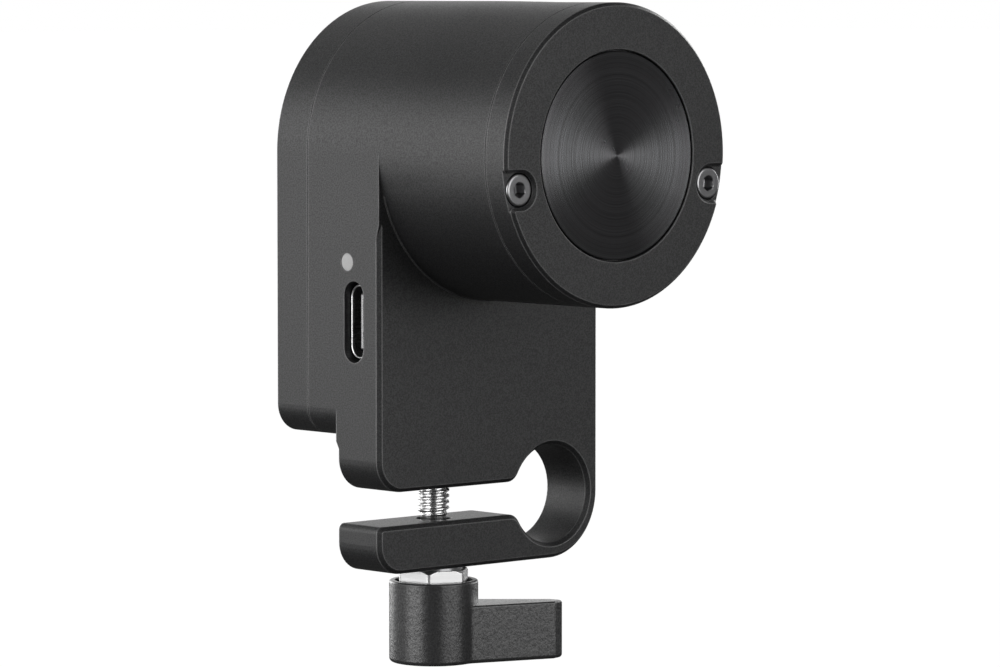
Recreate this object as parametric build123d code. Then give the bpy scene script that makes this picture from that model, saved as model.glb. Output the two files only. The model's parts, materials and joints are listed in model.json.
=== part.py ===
"""Lens focus motor with a rod clamp, as an assembly of separate pieces.

Millimetres. The origin is on the axis of the rod bore, half way through the clamp block.
+Y runs along the rod, away from the turned face disc and towards the drive gear.
+Z is up, and the clamp's slit opens towards -X. Each named piece is one STEP file in parts/.
"""
from build123d import *
import math
import os

# Rod clamp
rod_d = 12.0                # bore for the support rod
clamp_wall = 1.8            # metal beside the bore on its closed side
block_t = 7.7               # clamp block, along the rod
slit_above = 1.85           # upper face of the slit, above the bore axis
slit_gap = 3.95             # open slit between block and jaw
jaw_t = 5.75                # jaw, top to underside
neck_h = 6.25               # clamp block between the slit and the motor box
lip_r = 2.0                 # rounded lips where the slit meets the bore
block_corner_r = 3.8
jaw_corner_r = 3.5
jaw_tip_r = 0.8
edge_chamfer = 0.5
front_chamfer_h = 29.9      # chamfered stretch of the front edges, above the slit
front_run_out = 1.8         # slope at the upper end of these chamfers
shelf_drop = 1.35           # square back edges of the block reach this far below the motor box
shelf_run_out = 0.9         # slope at their lower end

# Motor body
body_r = 17.8               # barrel radius
box_proud = 0.12            # motor box and block outside the barrel's radius
motor_h = 41.8              # motor axis above the rod axis
barrel_l = 18.2             # barrel in front of the clamp block, without its cap
cap_t = 3.5
box_l = 12.8                # motor box behind the block's front face
cover_t = 5.85
box_corner_r = 3.4
least_corner_r = 0.6
wall = 2.3
web_t = 2.0                 # wall between barrel and motor box
plate_t = 1.8               # back wall of the rear cover
cap_bevel = 0.4
cover_bevel = 0.3
seam_break = 0.1            # broken edges on both sides of a seam

# Screws in general
screw_key_depth = 0.55      # socket, as a share of the head's height
screw_head_edge = 0.12      # chamfer, as a share of the head's radius
m2_head_r = 1.9
m2_head_h = 2.0
m2_key = 1.5
m2_r = 1.0
m2_play = 0.15              # clearance round a screw's shank
head_play = 0.2             # clearance round a sunk head
boss_wall = 0.7             # metal round a tapped hole
thread_spare = 0.5          # tapped hole beyond its screw

# Front cap, disc and screws
cap_ring_w = 5.65           # cap's face round the disc
disc_t = 0.8
disc_sink = 0.1             # disc face behind the cap's face
groove_w = 0.2              # gap round the disc
groove_break = 0.08         # broken edges of that gap
cap_screw_in = 2.5          # cap screws, in from the body's side
cap_screw_drop = 3.6        # and below the motor axis
cap_head_play = 0.1         # clearance round their heads, as much as the rim leaves room for
cap_head_sink = 0.35        # heads behind the cap's face
notch_depth = 0.6
notch_corner_r = 0.5        # rounded corners between a notch and the rim
cap_relief_t = 1.2          # hollow in the back of the cap
cap_land = 4.5              # width of the cap's back face, in from the rim
cap_screw_grip = 4.5

# Rear cover screws
corner_boss_in = 4.4        # lower bosses, in from the flank and up from the floor
arch_boss_in = 3.1          # upper bosses, in from the arch
arch_boss_deg = 38.0
cover_screw_grip = 4.5
cover_boss_wall = 0.8

# USB-C socket and status lamp in the left flank
usb_up = 21.95              # centre above the rod axis
usb_back = 4.46             # centre behind the block's front face
usb_w = 8.94
usb_t = 3.26
usb_wall = 0.3
usb_l = 7.35
usb_sink = 1.2              # shell mouth inside the flank
usb_play = 0.1              # opening beyond the shell, across
usb_play_long = 0.36        # opening beyond the shell, up and down
tongue_w = 6.69
tongue_t = 0.7
tongue_sink = 0.35          # tongue tip inside the shell mouth
tongue_base = 1.4
lamp_up = 29.0
lamp_back = 5.68            # lamp behind the block's front face
lamp_r = 1.05
lamp_flange = 0.5
lamp_flange_r = 1.6
led_h = 1.6
led_w = 0.8
led_gap = 0.1

# Main board
board_t = 1.0
board_edge = 0.4            # between board and walls, and round the gearbox
board_over = 2.6            # board above the lamp
board_hole_play = 0.1
board_post_r = 1.7
low_post_up = 5.3           # post beside the socket, above the box's underside
side_post_in = 5.4          # post on the right, in from the flank
side_post_up = 3.0          # and above the socket's centre
post_off_socket = 0.5       # post by the gearbox, clear of the socket's end
m16_r = 0.8
m16_head_r = 1.5
m16_head_h = 1.0
m16_key = 0.9
m16_grip = 2.5

# Board components: controller, driver, choke and two capacitors
controller_w = 7.0
controller_left = 1.0       # centre, left of the motor axis
driver_w = 5.0
driver_right = 9.0
chip_t = 0.9
choke_w = 4.0
choke_t = 2.0
choke_left = 9.0
big_cap_w = 3.2
big_cap_h = 2.5
big_cap_t = 1.4
big_cap_right = 5.0
big_cap_up = 3.6            # centre above the board's lower edge
small_cap_w = 1.6
small_cap_h = 3.2
small_cap_t = 1.2
small_cap_left = 12.5

# Motor
motor_room = 2.3            # between motor and barrel
motor_sink = 3.2            # motor's front end behind the barrel's mouth
can_wall = 0.9
can_end_t = 1.2
bell_t = 1.5
rotor_over = 0.3            # magnet beyond the stator stack
air_gap = 0.4
stack_back = 3.7            # stator stack in front of the mounting face
stack_front_room = 3.7      # and behind the motor's front end
coil_over = 1.4             # coil beyond the stack at each end
stator_teeth = 9
back_iron = 1.6
slot_depth = 3.9            # from the back iron to the bore
tooth_w = 2.0
shoe_t = 0.8
shoe_gap = 1.2
coil_t = 1.1
coil_play = 0.15
rotor_shaft_r = 1.5
bearing_r = 3.0
running_fit = 0.03
pilot_r = 4.2
pilot_play = 0.1
motor_screw_count = 4
motor_screw_deg = 45.0      # first screw
motor_screw_head_h = 1.3
motor_screw_short = 0.1     # screw's end short of the motor's inside

# Encoder on the front end of the rotor
encoder_magnet_r = 2.0
encoder_magnet_l = 1.4
encoder_magnet_gap = 0.5    # magnet off the end bell
encoder_board_in = 4.6      # board's rim, in from the motor's
encoder_board_t = 0.8
encoder_gap = 0.4
encoder_chip = 3.0
encoder_chip_t = 0.6
encoder_post_count = 3
encoder_post_r = 1.1
encoder_post_in = 1.4

# Planetary gearbox, with sun and planets alike
gear_m = 0.5
pressure_deg = 20.0
planet_count = 3
ring_room = 2.6             # least room between ring gear and body wall
stub = 0.8                  # addendum of sun and planets, in modules
ring_stub = 0.7
root_depth = 1.0
tooth_foot = 0.97           # buried foot of a tooth, as a share of the root radius
backlash = 0.08
ring_rim = 1.05             # metal outside the ring gear's roots
ring_seat_play = 0.03
collar_t = 1.0              # collar of the web round the ring gear
collar_h = 3.0
planet_w = 4.2
planet_start = 2.0          # planets behind the web
sun_over = 0.2              # sun gear beyond the planets
pin_r = 1.0
pin_over = 0.3
pin_seat = 1.2
carrier_t = 1.7
carrier_play = 0.8          # carrier's rim inside the ring gear's teeth
carrier_gap = 0.5
ring_over = 0.4             # ring gear beyond the carrier

# Output shaft, bearing and drive gear
shaft_r = 3.0
shoulder_r = 3.9
bearing_od = 12.0
bearing_w = 4.0
race_t = 0.95
ball_r = 0.75
ball_play = 0.04            # between a ball and its groove
ball_count = 9
cage_t = 0.4
cage_w = 2.4
pocket_play = 0.06
bearing_boss_wall = 1.7
shaft_window_r = 4.6
drive_m = 0.8
drive_teeth = 28
drive_addendum = 1.0        # in modules
drive_dedendum = 1.25
drive_w = 5.2
drive_gap = 0.8             # gear off the rear cover
drive_recess = 1.2
drive_hub_r = 5.2
drive_rim = 1.1             # metal inside the drive gear's roots
flat_depth = 0.5            # flat on the shaft's end
shaft_short = 0.05          # shaft end below the gear's pocket, so that the washer grips
gear_washer_r = 3.4
gear_washer_t = 0.5
gear_screw_head_r = 2.25
gear_screw_head_h = 1.3
gear_screw_r = 1.25
gear_screw_key = 1.5
gear_screw_grip = 6.0
gear_pocket_r = 3.7
gear_pocket_d = 2.1

# Clamp screw and lever
stud_out = 15.95            # stud axis beside the bore axis
stud_r = 2.0
stud_play = 0.2             # round the stud in the jaw
tap_play = 0.05             # round the stud in the block
stud_bite = 6.2             # stud inside the block
stud_tip_chamfer = 0.4
washer_r = 3.5
washer_t = 0.3
hex_af = 7.8
hex_deg = 40.3              # one corner of the hub, from +X
hub_h = 4.65
hub_top_chamfer = 0.45
lever_r = 5.35
lever_h = 9.85
lever_drop = 1.65           # lever's rim below the jaw
lever_rim = 0.65            # wall round the open ring in the lever's top
lever_ring_d = 1.5          # depth of that open ring
hex_play = 0.06
lever_gap = 0.1             # lever's web below the hub
lever_web_t = 1.0
spring_room_r = 3.5
lever_edge_r = 0.5          # rounding of the lever's lower edges
lever_rim_r = 0.25
arm_len = 15.7              # from the stud's axis
arm_h = 6.95
arm_root_w = 6.8
arm_tip_w = 2.8
arm_tip_chamfer = 1.0
arm_root_fillet = 1.8
arm_top_r = 0.25
arm_deg = 30.8              # towards the front from +X
sleeve_r = 1.6
sleeve_play = 0.15
lever_screw_r = 1.25
lever_screw_grip = 2.6
lever_head_r = 3.0
lever_head_h = 1.3
lever_head_up = 0.4         # head inside the lever's open end
lever_head_chamfer = 0.3
lever_head_key = 2.0
lever_key_depth = 0.6       # socket, as a share of the head's height
spring_wire_r = 0.18
spring_r = 2.65
spring_turns = 3
spring_play = 0.05          # spring off the head and the web

# Places that follow from the sizes
rod_r = rod_d / 2
front_y = -block_t / 2
box_r = body_r + box_proud
flank_right = rod_r + clamp_wall
motor_x = flank_right - box_r
flank_left = motor_x - box_r
slit_low = slit_above - slit_gap
jaw_low = slit_low - jaw_t
chamfer_top = slit_above + front_chamfer_h
clamp_top = chamfer_top + front_run_out
box_low = slit_above + neck_h
shelf_low = box_low - shelf_drop
cap_seam = front_y - barrel_l
cap_face = cap_seam - cap_t
web_back = front_y + web_t
cover_seam = front_y + box_l
cover_back = cover_seam + cover_t
plate_y = cover_back - plate_t
inner_r = body_r - wall
disc_r = body_r - cap_ring_w
notch_r = m2_head_r + cap_head_play
cap_head_seat = cap_face + cap_head_sink + m2_head_h
boss_r = m2_r + boss_wall
flank_inner = flank_left + wall
usb_y = front_y + usb_back
usb_mouth = flank_left + usb_sink
usb_rear = usb_mouth + usb_l
board_y = usb_y + usb_t / 2
board_back = board_y + board_t
lamp_y = front_y + lamp_back

motor_r = inner_r - motor_room
motor_front = cap_seam + motor_sink
stack_rear = front_y - stack_back
stack_front = motor_front + stack_front_room
stack_l = stack_rear - stack_front
stator_r = motor_r - can_wall
stator_bore_r = stator_r - back_iron - slot_depth
rotor_r = stator_bore_r - air_gap
magnet_rear = motor_front - encoder_magnet_gap
magnet_front = magnet_rear - encoder_magnet_l
encoder_back = magnet_front - encoder_gap - encoder_chip_t
encoder_board_r = motor_r - encoder_board_in

# Teeth come in threes, so that three planets mesh at equal angles, as many as the room allows
pitch_room_r = inner_r - ring_room - ring_rim - root_depth * gear_m
planet_teeth = planet_count * int(pitch_room_r / (3 * gear_m / 2) / planet_count)
sun_teeth = planet_teeth
ring_teeth = sun_teeth + 2 * planet_teeth
planet_orbit_r = gear_m * (sun_teeth + planet_teeth) / 2
ring_outer_r = gear_m * (ring_teeth / 2 + root_depth) + ring_rim
ring_tip_r = gear_m * (ring_teeth / 2 - ring_stub)
carrier_r = ring_tip_r - carrier_play
motor_screw_circle_r = ring_tip_r - m2_head_r - head_play
planet_front = web_back + planet_start
planet_back = planet_front + planet_w
carrier_front = planet_back + carrier_gap
carrier_back = carrier_front + carrier_t

bearing_front = plate_y - bearing_w
race_inner_r = shaft_r + race_t
race_outer_r = bearing_od / 2 - race_t
bearing_y = bearing_front + bearing_w / 2
ball_orbit_r = (race_inner_r + race_outer_r) / 2
drive_front = cover_back + drive_gap
drive_back = drive_front + drive_w
pocket_floor = drive_back - gear_pocket_d
shaft_end = pocket_floor - shaft_short
flat_z = shaft_r - flat_depth

stud_x = -stud_out
hub_top = jaw_low - washer_t
hub_low = hub_top - hub_h
lever_top = jaw_low - lever_drop
lever_low = lever_top - lever_h
web_top = hub_low - lever_gap
web_low = web_top - lever_web_t
head_top = lever_low + lever_head_up + lever_head_h

over = 0.3                  # overlap of joined or cutting shapes past a face
touch = 0.01                # two places closer than this are one


# Helpers

def at_motor(x=0.0, z=0.0):
    """Place in X and Z, measured from the motor axis."""
    return Pos(motor_x + x, motor_h + z)


def slab(sketch, y_front, y_back):
    """Sketch of X and Z made solid between two depths."""
    return extrude(Pos(0, y_back, 0) * (Plane.XZ * sketch), amount=y_back - y_front)


def motor_disc(radius, y_front, y_back, x=0.0, z=0.0):
    """Round bar along Y, placed from the motor axis."""
    return slab(at_motor(x, z) * Circle(radius), y_front, y_back)


def motor_tube(outer, inner, y_front, y_back):
    """Round tube along Y on the motor axis."""
    return slab(at_motor() * (Circle(outer) - Circle(inner)), y_front, y_back)


def post(radius, z_low, z_high):
    """Round bar along Z on the stud's axis."""
    ends = (Align.CENTER, Align.CENTER, Align.MIN)
    return Pos(stud_x, 0, z_low) * Cylinder(radius, z_high - z_low, align=ends)


def stud_prism(sketch, z_low, z_high):
    """Sketch of X and Y, drawn from the stud's axis, made solid along Z."""
    return extrude(Pos(stud_x, 0, z_low) * sketch, amount=z_high - z_low)


def along_x(sketch, x_from, x_to, y, z):
    """Sketch made solid along X: its first axis runs down, its second to the back."""
    plane = Plane(origin=(x_from, y, z), x_dir=(0, 0, -1), z_dir=(1, 0, 0))
    return extrude(plane * sketch, amount=x_to - x_from)


def flank_to_flank(corners):
    """Outline of corners in Y and Z made solid across the width of the block."""
    outline = make_face(Polyline([(-z, y) for y, z in corners], close=True))
    return along_x(outline, flank_left, flank_right, 0, 0)


def bars(places, radius, y_front, y_back):
    """Round bars along Y at several places in X and Z."""
    return slab(Sketch() + [Pos(x, z) * Circle(radius) for x, z in places], y_front, y_back)


def box_outline(inset=0.0):
    """Arch-topped outline of the motor box in X and Z, drawn in by an inset."""
    r = box_r - inset
    low = box_low + inset
    outline = at_motor() * Circle(r)
    outline += Pos(motor_x, (motor_h + low) / 2) * Rectangle(2 * r, motor_h - low)
    corners = outline.vertices().sort_by(Axis.Y)[:2]
    return fillet(corners, max(box_corner_r - inset, least_corner_r))


def socket_screw(x, z, y_seat, grip, outward, head_r, head_h, shank_r, key):
    """Socket-head screw along Y: head on y_seat, facing outward (-1 front, +1 back)."""
    y_top = y_seat + outward * head_h
    y_end = y_seat - outward * grip
    y_deep = y_top - outward * screw_key_depth * head_h
    head = slab(Pos(x, z) * Circle(head_r), min(y_seat, y_top), max(y_seat, y_top))
    rims = head.edges().filter_by(GeomType.CIRCLE).sort_by(Axis.Y)
    head = chamfer(rims[-1] if outward > 0 else rims[0], screw_head_edge * head_r)
    shank = slab(Pos(x, z) * Circle(shank_r), min(y_seat, y_end), max(y_seat, y_end))
    hexagon = Pos(x, z) * RegularPolygon(key / 2, 6, major_radius=False)
    y_open = y_top + outward * over
    return head + shank - slab(hexagon, min(y_open, y_deep), max(y_open, y_deep))


# Places of repeated pieces, in X and Z

def cap_screw_places():
    out = body_r - cap_screw_in
    return [(motor_x + side * out, motor_h - cap_screw_drop) for side in (-1, 1)]


def corner_boss_places():
    up = box_low + corner_boss_in
    return [(flank_left + corner_boss_in, up), (flank_right - corner_boss_in, up)]


def cover_screw_places():
    """Two screws in the lower corners and two under the arch."""
    r = box_r - arch_boss_in
    places = corner_boss_places()
    for angle in (arch_boss_deg, 180 - arch_boss_deg):
        a = math.radians(angle)
        places.append((motor_x + r * math.cos(a), motor_h + r * math.sin(a)))
    return places


def board_post_places():
    """Posts beside the socket's foot, on the right, and between socket and gearbox."""
    x = usb_rear + post_off_socket + board_post_r
    off_axis = board_hollow_r() + board_post_r
    below_axis = math.sqrt(off_axis ** 2 - (motor_x - x) ** 2)
    return [
        (usb_rear + 2 * board_post_r, box_low + low_post_up),
        (flank_right - side_post_in, usb_up + side_post_up),
        (x, motor_h - below_axis),
    ]


def motor_screw_places():
    places = []
    for i in range(motor_screw_count):
        a = math.radians(motor_screw_deg + 360 * i / motor_screw_count)
        places.append((motor_x + motor_screw_circle_r * math.cos(a),
                       motor_h + motor_screw_circle_r * math.sin(a)))
    return places


def planet_deg(i):
    return 90 + 360 * i / planet_count


def planet_place(i):
    """Centre of a planet, from the motor axis."""
    a = math.radians(planet_deg(i))
    return planet_orbit_r * math.cos(a), planet_orbit_r * math.sin(a)


# Involute teeth

def involute(angle):
    """Involute function of a pressure angle in radians."""
    return math.tan(angle) - angle


def polar(radius, angle):
    return (radius * math.cos(angle), radius * math.sin(angle))


def tooth_face(pitch_r, teeth, tip_r, root_r, slack, turn):
    """One tooth, its involute flanks drawn as arcs, with a foot inside the root circle."""
    pressure = math.radians(pressure_deg)
    base_r = pitch_r * math.cos(pressure)
    start_r = max(base_r, root_r)
    middle = math.pi / (2 * teeth) - slack / (2 * pitch_r) + involute(pressure)
    radii = [start_r, (start_r + tip_r) / 2, tip_r]
    half = [middle - involute(math.acos(min(1.0, base_r / r))) for r in radii]
    right = [polar(r, turn - h) for r, h in zip(radii, half)]
    left = [polar(r, turn + h) for r, h in zip(radii, half)]
    foot_right = polar(tooth_foot * root_r, turn - half[0])
    foot_left = polar(tooth_foot * root_r, turn + half[0])
    return make_face(Wire([
        Line(foot_left, foot_right),
        Line(foot_right, right[0]),
        ThreePointArc(*right),
        Line(right[2], left[2]),
        ThreePointArc(*left[::-1]),
        Line(left[0], foot_left),
    ]))


def toothed_face(pitch_r, teeth, tip_r, root_r, slack, first_deg):
    """Root circle with its teeth, the first one centred at an angle."""
    turns = [math.radians(first_deg) + 2 * math.pi * i / teeth for i in range(teeth)]
    faces = [tooth_face(pitch_r, teeth, tip_r, root_r, slack, turn) for turn in turns]
    return Sketch() + [Circle(root_r)] + faces


def spur_face(module, teeth, addendum, dedendum, first_deg):
    """External gear with its backlash taken off the teeth."""
    pitch_r = module * teeth / 2
    return toothed_face(pitch_r, teeth, pitch_r + addendum * module,
                        pitch_r - dedendum * module, backlash, first_deg)


def ring_hollow_face(module, teeth, addendum, dedendum, first_deg):
    """Hollow of an internal gear, whose spaces are widened by the backlash."""
    pitch_r = module * teeth / 2
    return toothed_face(pitch_r, teeth, pitch_r + dedendum * module,
                        pitch_r - addendum * module, -backlash, first_deg)


# Main housing

def clamp_profile():
    """Clamp block with its C-shaped jaw, in X and Z."""
    width = flank_right - flank_left
    height = clamp_top - jaw_low
    body = Pos((flank_left + flank_right) / 2, (clamp_top + jaw_low) / 2) * Rectangle(width, height)
    slit_middle = (slit_low + slit_above) / 2
    body -= Pos((flank_left - over) / 2, slit_middle) * Rectangle(over - flank_left, slit_gap)
    body -= Circle(rod_r)
    rounds = [
        (flank_right, jaw_low, rod_r + clamp_wall),
        (flank_left, jaw_low, jaw_corner_r),
        (flank_left, slit_low, jaw_tip_r),
        (flank_left, slit_above, block_corner_r),
        (-math.sqrt(rod_r ** 2 - slit_above ** 2), slit_above, lip_r),
        (-math.sqrt(rod_r ** 2 - slit_low ** 2), slit_low, lip_r),
    ]
    for x, z, radius in rounds:
        corner = body.vertices().sort_by_distance((x, z, 0))[0]
        body = fillet(corner, radius)
    return body


def housing_outside():
    """Clamp block, motor box and barrel before they are hollowed."""
    clamp = slab(clamp_profile(), front_y, -front_y)
    ends = clamp.faces().filter_by(Axis.Y).sort_by(Axis.Y)
    edges = [e for face in (ends[0], ends[-1]) for e in face.edges() if e.center().Z < clamp_top - touch]
    body = chamfer(edges, edge_chamfer)
    outline = box_outline()
    box = slab(outline, front_y + edge_chamfer, cover_seam)
    body += chamfer(box.faces().filter_by(Axis.Y).sort_by(Axis.Y)[-1].edges(), seam_break)
    above = Pos(motor_x, clamp_top + 2 * box_r) * Rectangle(4 * box_r, 4 * box_r)
    behind = front_y + edge_chamfer + over
    body += slab(outline & above, front_y, behind)
    body += flank_to_flank([
        (front_y, clamp_top),
        (front_y + edge_chamfer, chamfer_top),
        (behind, chamfer_top),
        (behind, clamp_top),
    ])
    body += flank_to_flank([
        (0, shelf_low),
        (-front_y - edge_chamfer, shelf_low),
        (-front_y, shelf_low + shelf_run_out),
        (-front_y, box_low + box_corner_r),
        (0, box_low + box_corner_r),
    ])
    barrel = motor_disc(body_r, cap_seam, front_y + over)
    body += chamfer(barrel.edges().filter_by(GeomType.CIRCLE).sort_by(Axis.Y)[0], seam_break)
    return body


def make_main_housing():
    body = housing_outside()
    body -= motor_disc(inner_r, cap_seam - over, front_y)
    body -= slab(box_outline(wall), web_back, cover_seam + over)
    screw_room = cap_screw_grip + thread_spare
    cap_bosses = bars(cap_screw_places(), boss_r, cap_seam, cap_seam + screw_room + boss_wall)
    body += cap_bosses & motor_disc(body_r - wall / 2, cap_seam, front_y)
    cover_bosses = bars(cover_screw_places(), boss_r, web_back - over, cover_seam)
    body += cover_bosses & slab(box_outline(wall / 2), web_back - over, cover_seam)
    body += bars(board_post_places(), board_post_r, web_back - over, board_y)
    seat_r = ring_outer_r + ring_seat_play
    body += motor_tube(seat_r + collar_t, seat_r, web_back - over, web_back + collar_h)
    body -= motor_disc(seat_r, web_back, web_back + collar_h)
    body -= motor_disc(pilot_r + pilot_play, front_y - over, web_back + over)
    body -= bars(motor_screw_places(), m2_r + m2_play, front_y - over, web_back + over)
    body -= bars(cap_screw_places(), m2_r, cap_seam - over, cap_seam + screw_room)
    body -= bars(cover_screw_places(), m2_r, cover_seam - cover_screw_grip - thread_spare, cover_seam + over)
    body -= bars(board_post_places(), m16_r, board_y - m16_grip - thread_spare, board_y + over)
    opening = SlotOverall(usb_w + 2 * usb_play_long, usb_t + 2 * usb_play)
    body -= along_x(opening, flank_left - over, flank_inner + over, usb_y, usb_up)
    body -= along_x(Circle(lamp_r), flank_left - over, flank_inner + over, lamp_y, lamp_up)
    body -= post(stud_r + tap_play, slit_above - over, slit_above + stud_bite + thread_spare)
    body -= post(stud_r + stud_play, jaw_low - over, slit_low + over)
    return body


# Front cap and disc

def cap_outline():
    """Outline of the cap's face: a notch reaches from each screw to the rim."""
    outline = at_motor() * Circle(body_r)
    for side, (x, z) in zip((-1, 1), cap_screw_places()):
        outline -= Pos(x, z) * Circle(notch_r)
        outline -= Pos(x + side * body_r / 2, z) * Rectangle(body_r, 2 * notch_r)
        for height in (z - notch_r, z + notch_r):
            reach = math.sqrt(body_r ** 2 - (height - motor_h) ** 2)
            corner = outline.vertices().sort_by_distance((motor_x + side * reach, height, 0))[0]
            outline = fillet(corner, notch_corner_r)
    return outline


def make_front_cap():
    """Ring with a bevel that follows its rim and its notches."""
    notch_floor = cap_face + notch_depth
    cap = slab(cap_outline(), cap_face, notch_floor)
    cap = chamfer(cap.faces().filter_by(Axis.Y).sort_by(Axis.Y)[0].edges(), cap_bevel)
    back = motor_disc(body_r, notch_floor, cap_seam)
    cap += chamfer(back.edges().filter_by(GeomType.CIRCLE).sort_by(Axis.Y)[-1], seam_break)
    cap -= bars(cap_screw_places(), notch_r, notch_floor, cap_head_seat)
    cap -= motor_disc(disc_r + groove_w, cap_face - over, cap_face + disc_sink + disc_t)
    rim = cap.faces().filter_by(Axis.Y).sort_by(Axis.Y)[0].inner_wires()[0]
    cap = chamfer(rim.edges(), groove_break)
    cap -= motor_disc(body_r - cap_land, cap_seam - cap_relief_t, cap_seam + over)
    return cap - bars(cap_screw_places(), m2_r + m2_play, cap_face, cap_seam + over)


def make_face_disc():
    y = cap_face + disc_sink
    disc = motor_disc(disc_r, y, y + disc_t)
    return chamfer(disc.edges().filter_by(GeomType.CIRCLE).sort_by(Axis.Y)[0], groove_break)


def make_cap_screws():
    grip = cap_seam - cap_head_seat + cap_screw_grip
    return [socket_screw(x, z, cap_head_seat, grip, -1, m2_head_r, m2_head_h, m2_r, m2_key)
            for x, z in cap_screw_places()]


# Rear cover

def make_rear_cover():
    cover = slab(box_outline(), cover_seam, cover_back)
    cover = chamfer(cover.faces().filter_by(Axis.Y).sort_by(Axis.Y)[-1].edges(), cover_bevel)
    cover = chamfer(cover.faces().filter_by(Axis.Y).sort_by(Axis.Y)[0].edges(), seam_break)
    cover -= slab(box_outline(wall), cover_seam - over, plate_y)
    screw_places = cover_screw_places()
    sunk_r = m2_head_r + head_play
    bosses = bars(screw_places, sunk_r + cover_boss_wall, cover_seam, plate_y + over)
    cover += bosses & slab(box_outline(wall / 2), cover_seam, plate_y + over)
    cover += motor_disc(bearing_od / 2 + bearing_boss_wall, bearing_front, plate_y + over)
    cover -= motor_disc(bearing_od / 2, bearing_front - over, plate_y)
    cover -= motor_disc(shaft_window_r, plate_y - over, cover_back + over)
    cover -= bars(screw_places, m2_r + m2_play, cover_seam - over, cover_back)
    cover -= bars(screw_places, sunk_r, cover_back - m2_head_h - head_play, cover_back + over)
    return cover


def make_cover_screws():
    seat = cover_back - m2_head_h - head_play
    grip = seat - cover_seam + cover_screw_grip
    return [socket_screw(x, z, seat, grip, 1, m2_head_r, m2_head_h, m2_r, m2_key)
            for x, z in cover_screw_places()]


# Socket, lamp and main board

def make_usb_shell():
    shell = along_x(SlotOverall(usb_w, usb_t), usb_mouth, usb_rear, usb_y, usb_up)
    inside = SlotOverall(usb_w - 2 * usb_wall, usb_t - 2 * usb_wall)
    return shell - along_x(inside, usb_mouth - over, usb_rear - usb_wall, usb_y, usb_up)


def make_usb_tongue():
    base_x = usb_rear - usb_wall - tongue_base
    inside = SlotOverall(usb_w - 2 * usb_wall, usb_t - 2 * usb_wall)
    base = along_x(inside, base_x, usb_rear - usb_wall, usb_y, usb_up)
    blade = Rectangle(tongue_w, tongue_t)
    return base + along_x(blade, usb_mouth + tongue_sink, base_x + over, usb_y, usb_up)


def make_light_pipe():
    """Clear pin through the flank, with a flange that is cut flat along the board."""
    pipe = along_x(Circle(lamp_r), flank_left, flank_inner + lamp_flange / 2, lamp_y, lamp_up)
    beyond_board = Pos(0, board_y - lamp_y + lamp_flange_r) * Rectangle(4 * lamp_flange_r, 2 * lamp_flange_r)
    flange = Circle(lamp_flange_r) - beyond_board
    return pipe + along_x(flange, flank_inner, flank_inner + lamp_flange, lamp_y, lamp_up)


def make_status_led():
    x = flank_inner + lamp_flange + led_gap + led_w / 2
    return Pos(x, board_y - led_w / 2, lamp_up) * Box(led_w, led_w, led_h)


def board_low():
    """Height of the board's lower edge."""
    return box_low + wall + board_edge


def board_hollow_r():
    """Radius of the board's hollow round the gearbox."""
    return ring_outer_r + 2 * board_edge


def board_outline():
    """Board across the motor box, hollowed round the gearbox and stepped round the corner bosses."""
    inset = wall + board_edge
    high = lamp_up + board_over
    outline = Pos(motor_x, (board_low() + high) / 2) * Rectangle(2 * (box_r - inset), high - board_low())
    outline -= at_motor() * Circle(board_hollow_r())
    step = 2 * (corner_boss_in + boss_r + board_edge - inset)
    for x in (flank_left + inset, flank_right - inset):
        outline -= Pos(x, board_low()) * Rectangle(step, step)
    return outline


def make_main_board():
    board = slab(board_outline(), board_y, board_back)
    return board - bars(board_post_places(), m16_r + board_hole_play, board_y - over, board_back + over)


def make_board_screws():
    return [socket_screw(x, z, board_back, board_t + m16_grip, 1, m16_head_r, m16_head_h, m16_r, m16_key)
            for x, z in board_post_places()]


def make_board_components():
    """Blocks on the back of the board, most of them half way up to the gearbox."""
    middle = (board_low() + motor_h - board_hollow_r()) / 2
    blocks = [
        (motor_x - controller_left, middle, controller_w, controller_w, chip_t),
        (motor_x + driver_right, middle, driver_w, driver_w, chip_t),
        (motor_x - choke_left, middle, choke_w, choke_w, choke_t),
        (motor_x + big_cap_right, board_low() + big_cap_up, big_cap_w, big_cap_h, big_cap_t),
        (motor_x - small_cap_left, middle, small_cap_w, small_cap_h, small_cap_t),
    ]
    return [Pos(x, board_back + t / 2, z) * Box(w, t, h) for x, z, w, h, t in blocks]


# Motor

def make_motor_can():
    can = motor_tube(motor_r, stator_r, motor_front, front_y)
    can += motor_tube(motor_r, bearing_r, front_y - can_end_t, front_y)
    can += motor_tube(pilot_r, bearing_r, front_y - can_end_t, front_y + web_t / 2)
    return can - bars(motor_screw_places(), m2_r, front_y - can_end_t - over, front_y + over)


def make_motor_end_bell():
    bell = motor_tube(stator_r, bearing_r, motor_front, motor_front + bell_t)
    post_circle_r = encoder_board_r - encoder_post_in
    for i in range(encoder_post_count):
        x, z = polar(post_circle_r, math.radians(90 + 360 * i / encoder_post_count))
        bell += motor_disc(encoder_post_r, encoder_back, motor_front + over, x, z)
    return bell


def make_motor_bearings():
    inner = rotor_shaft_r + running_fit
    front = motor_tube(bearing_r, inner, motor_front, motor_front + bell_t)
    rear = motor_tube(bearing_r, inner, front_y - can_end_t, front_y + web_t / 2)
    return [front, rear]


def make_motor_screws():
    grip = web_t + can_end_t - motor_screw_short
    return [socket_screw(x, z, web_back, grip, 1, m2_head_r, motor_screw_head_h, m2_r, m2_key)
            for x, z in motor_screw_places()]


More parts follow.
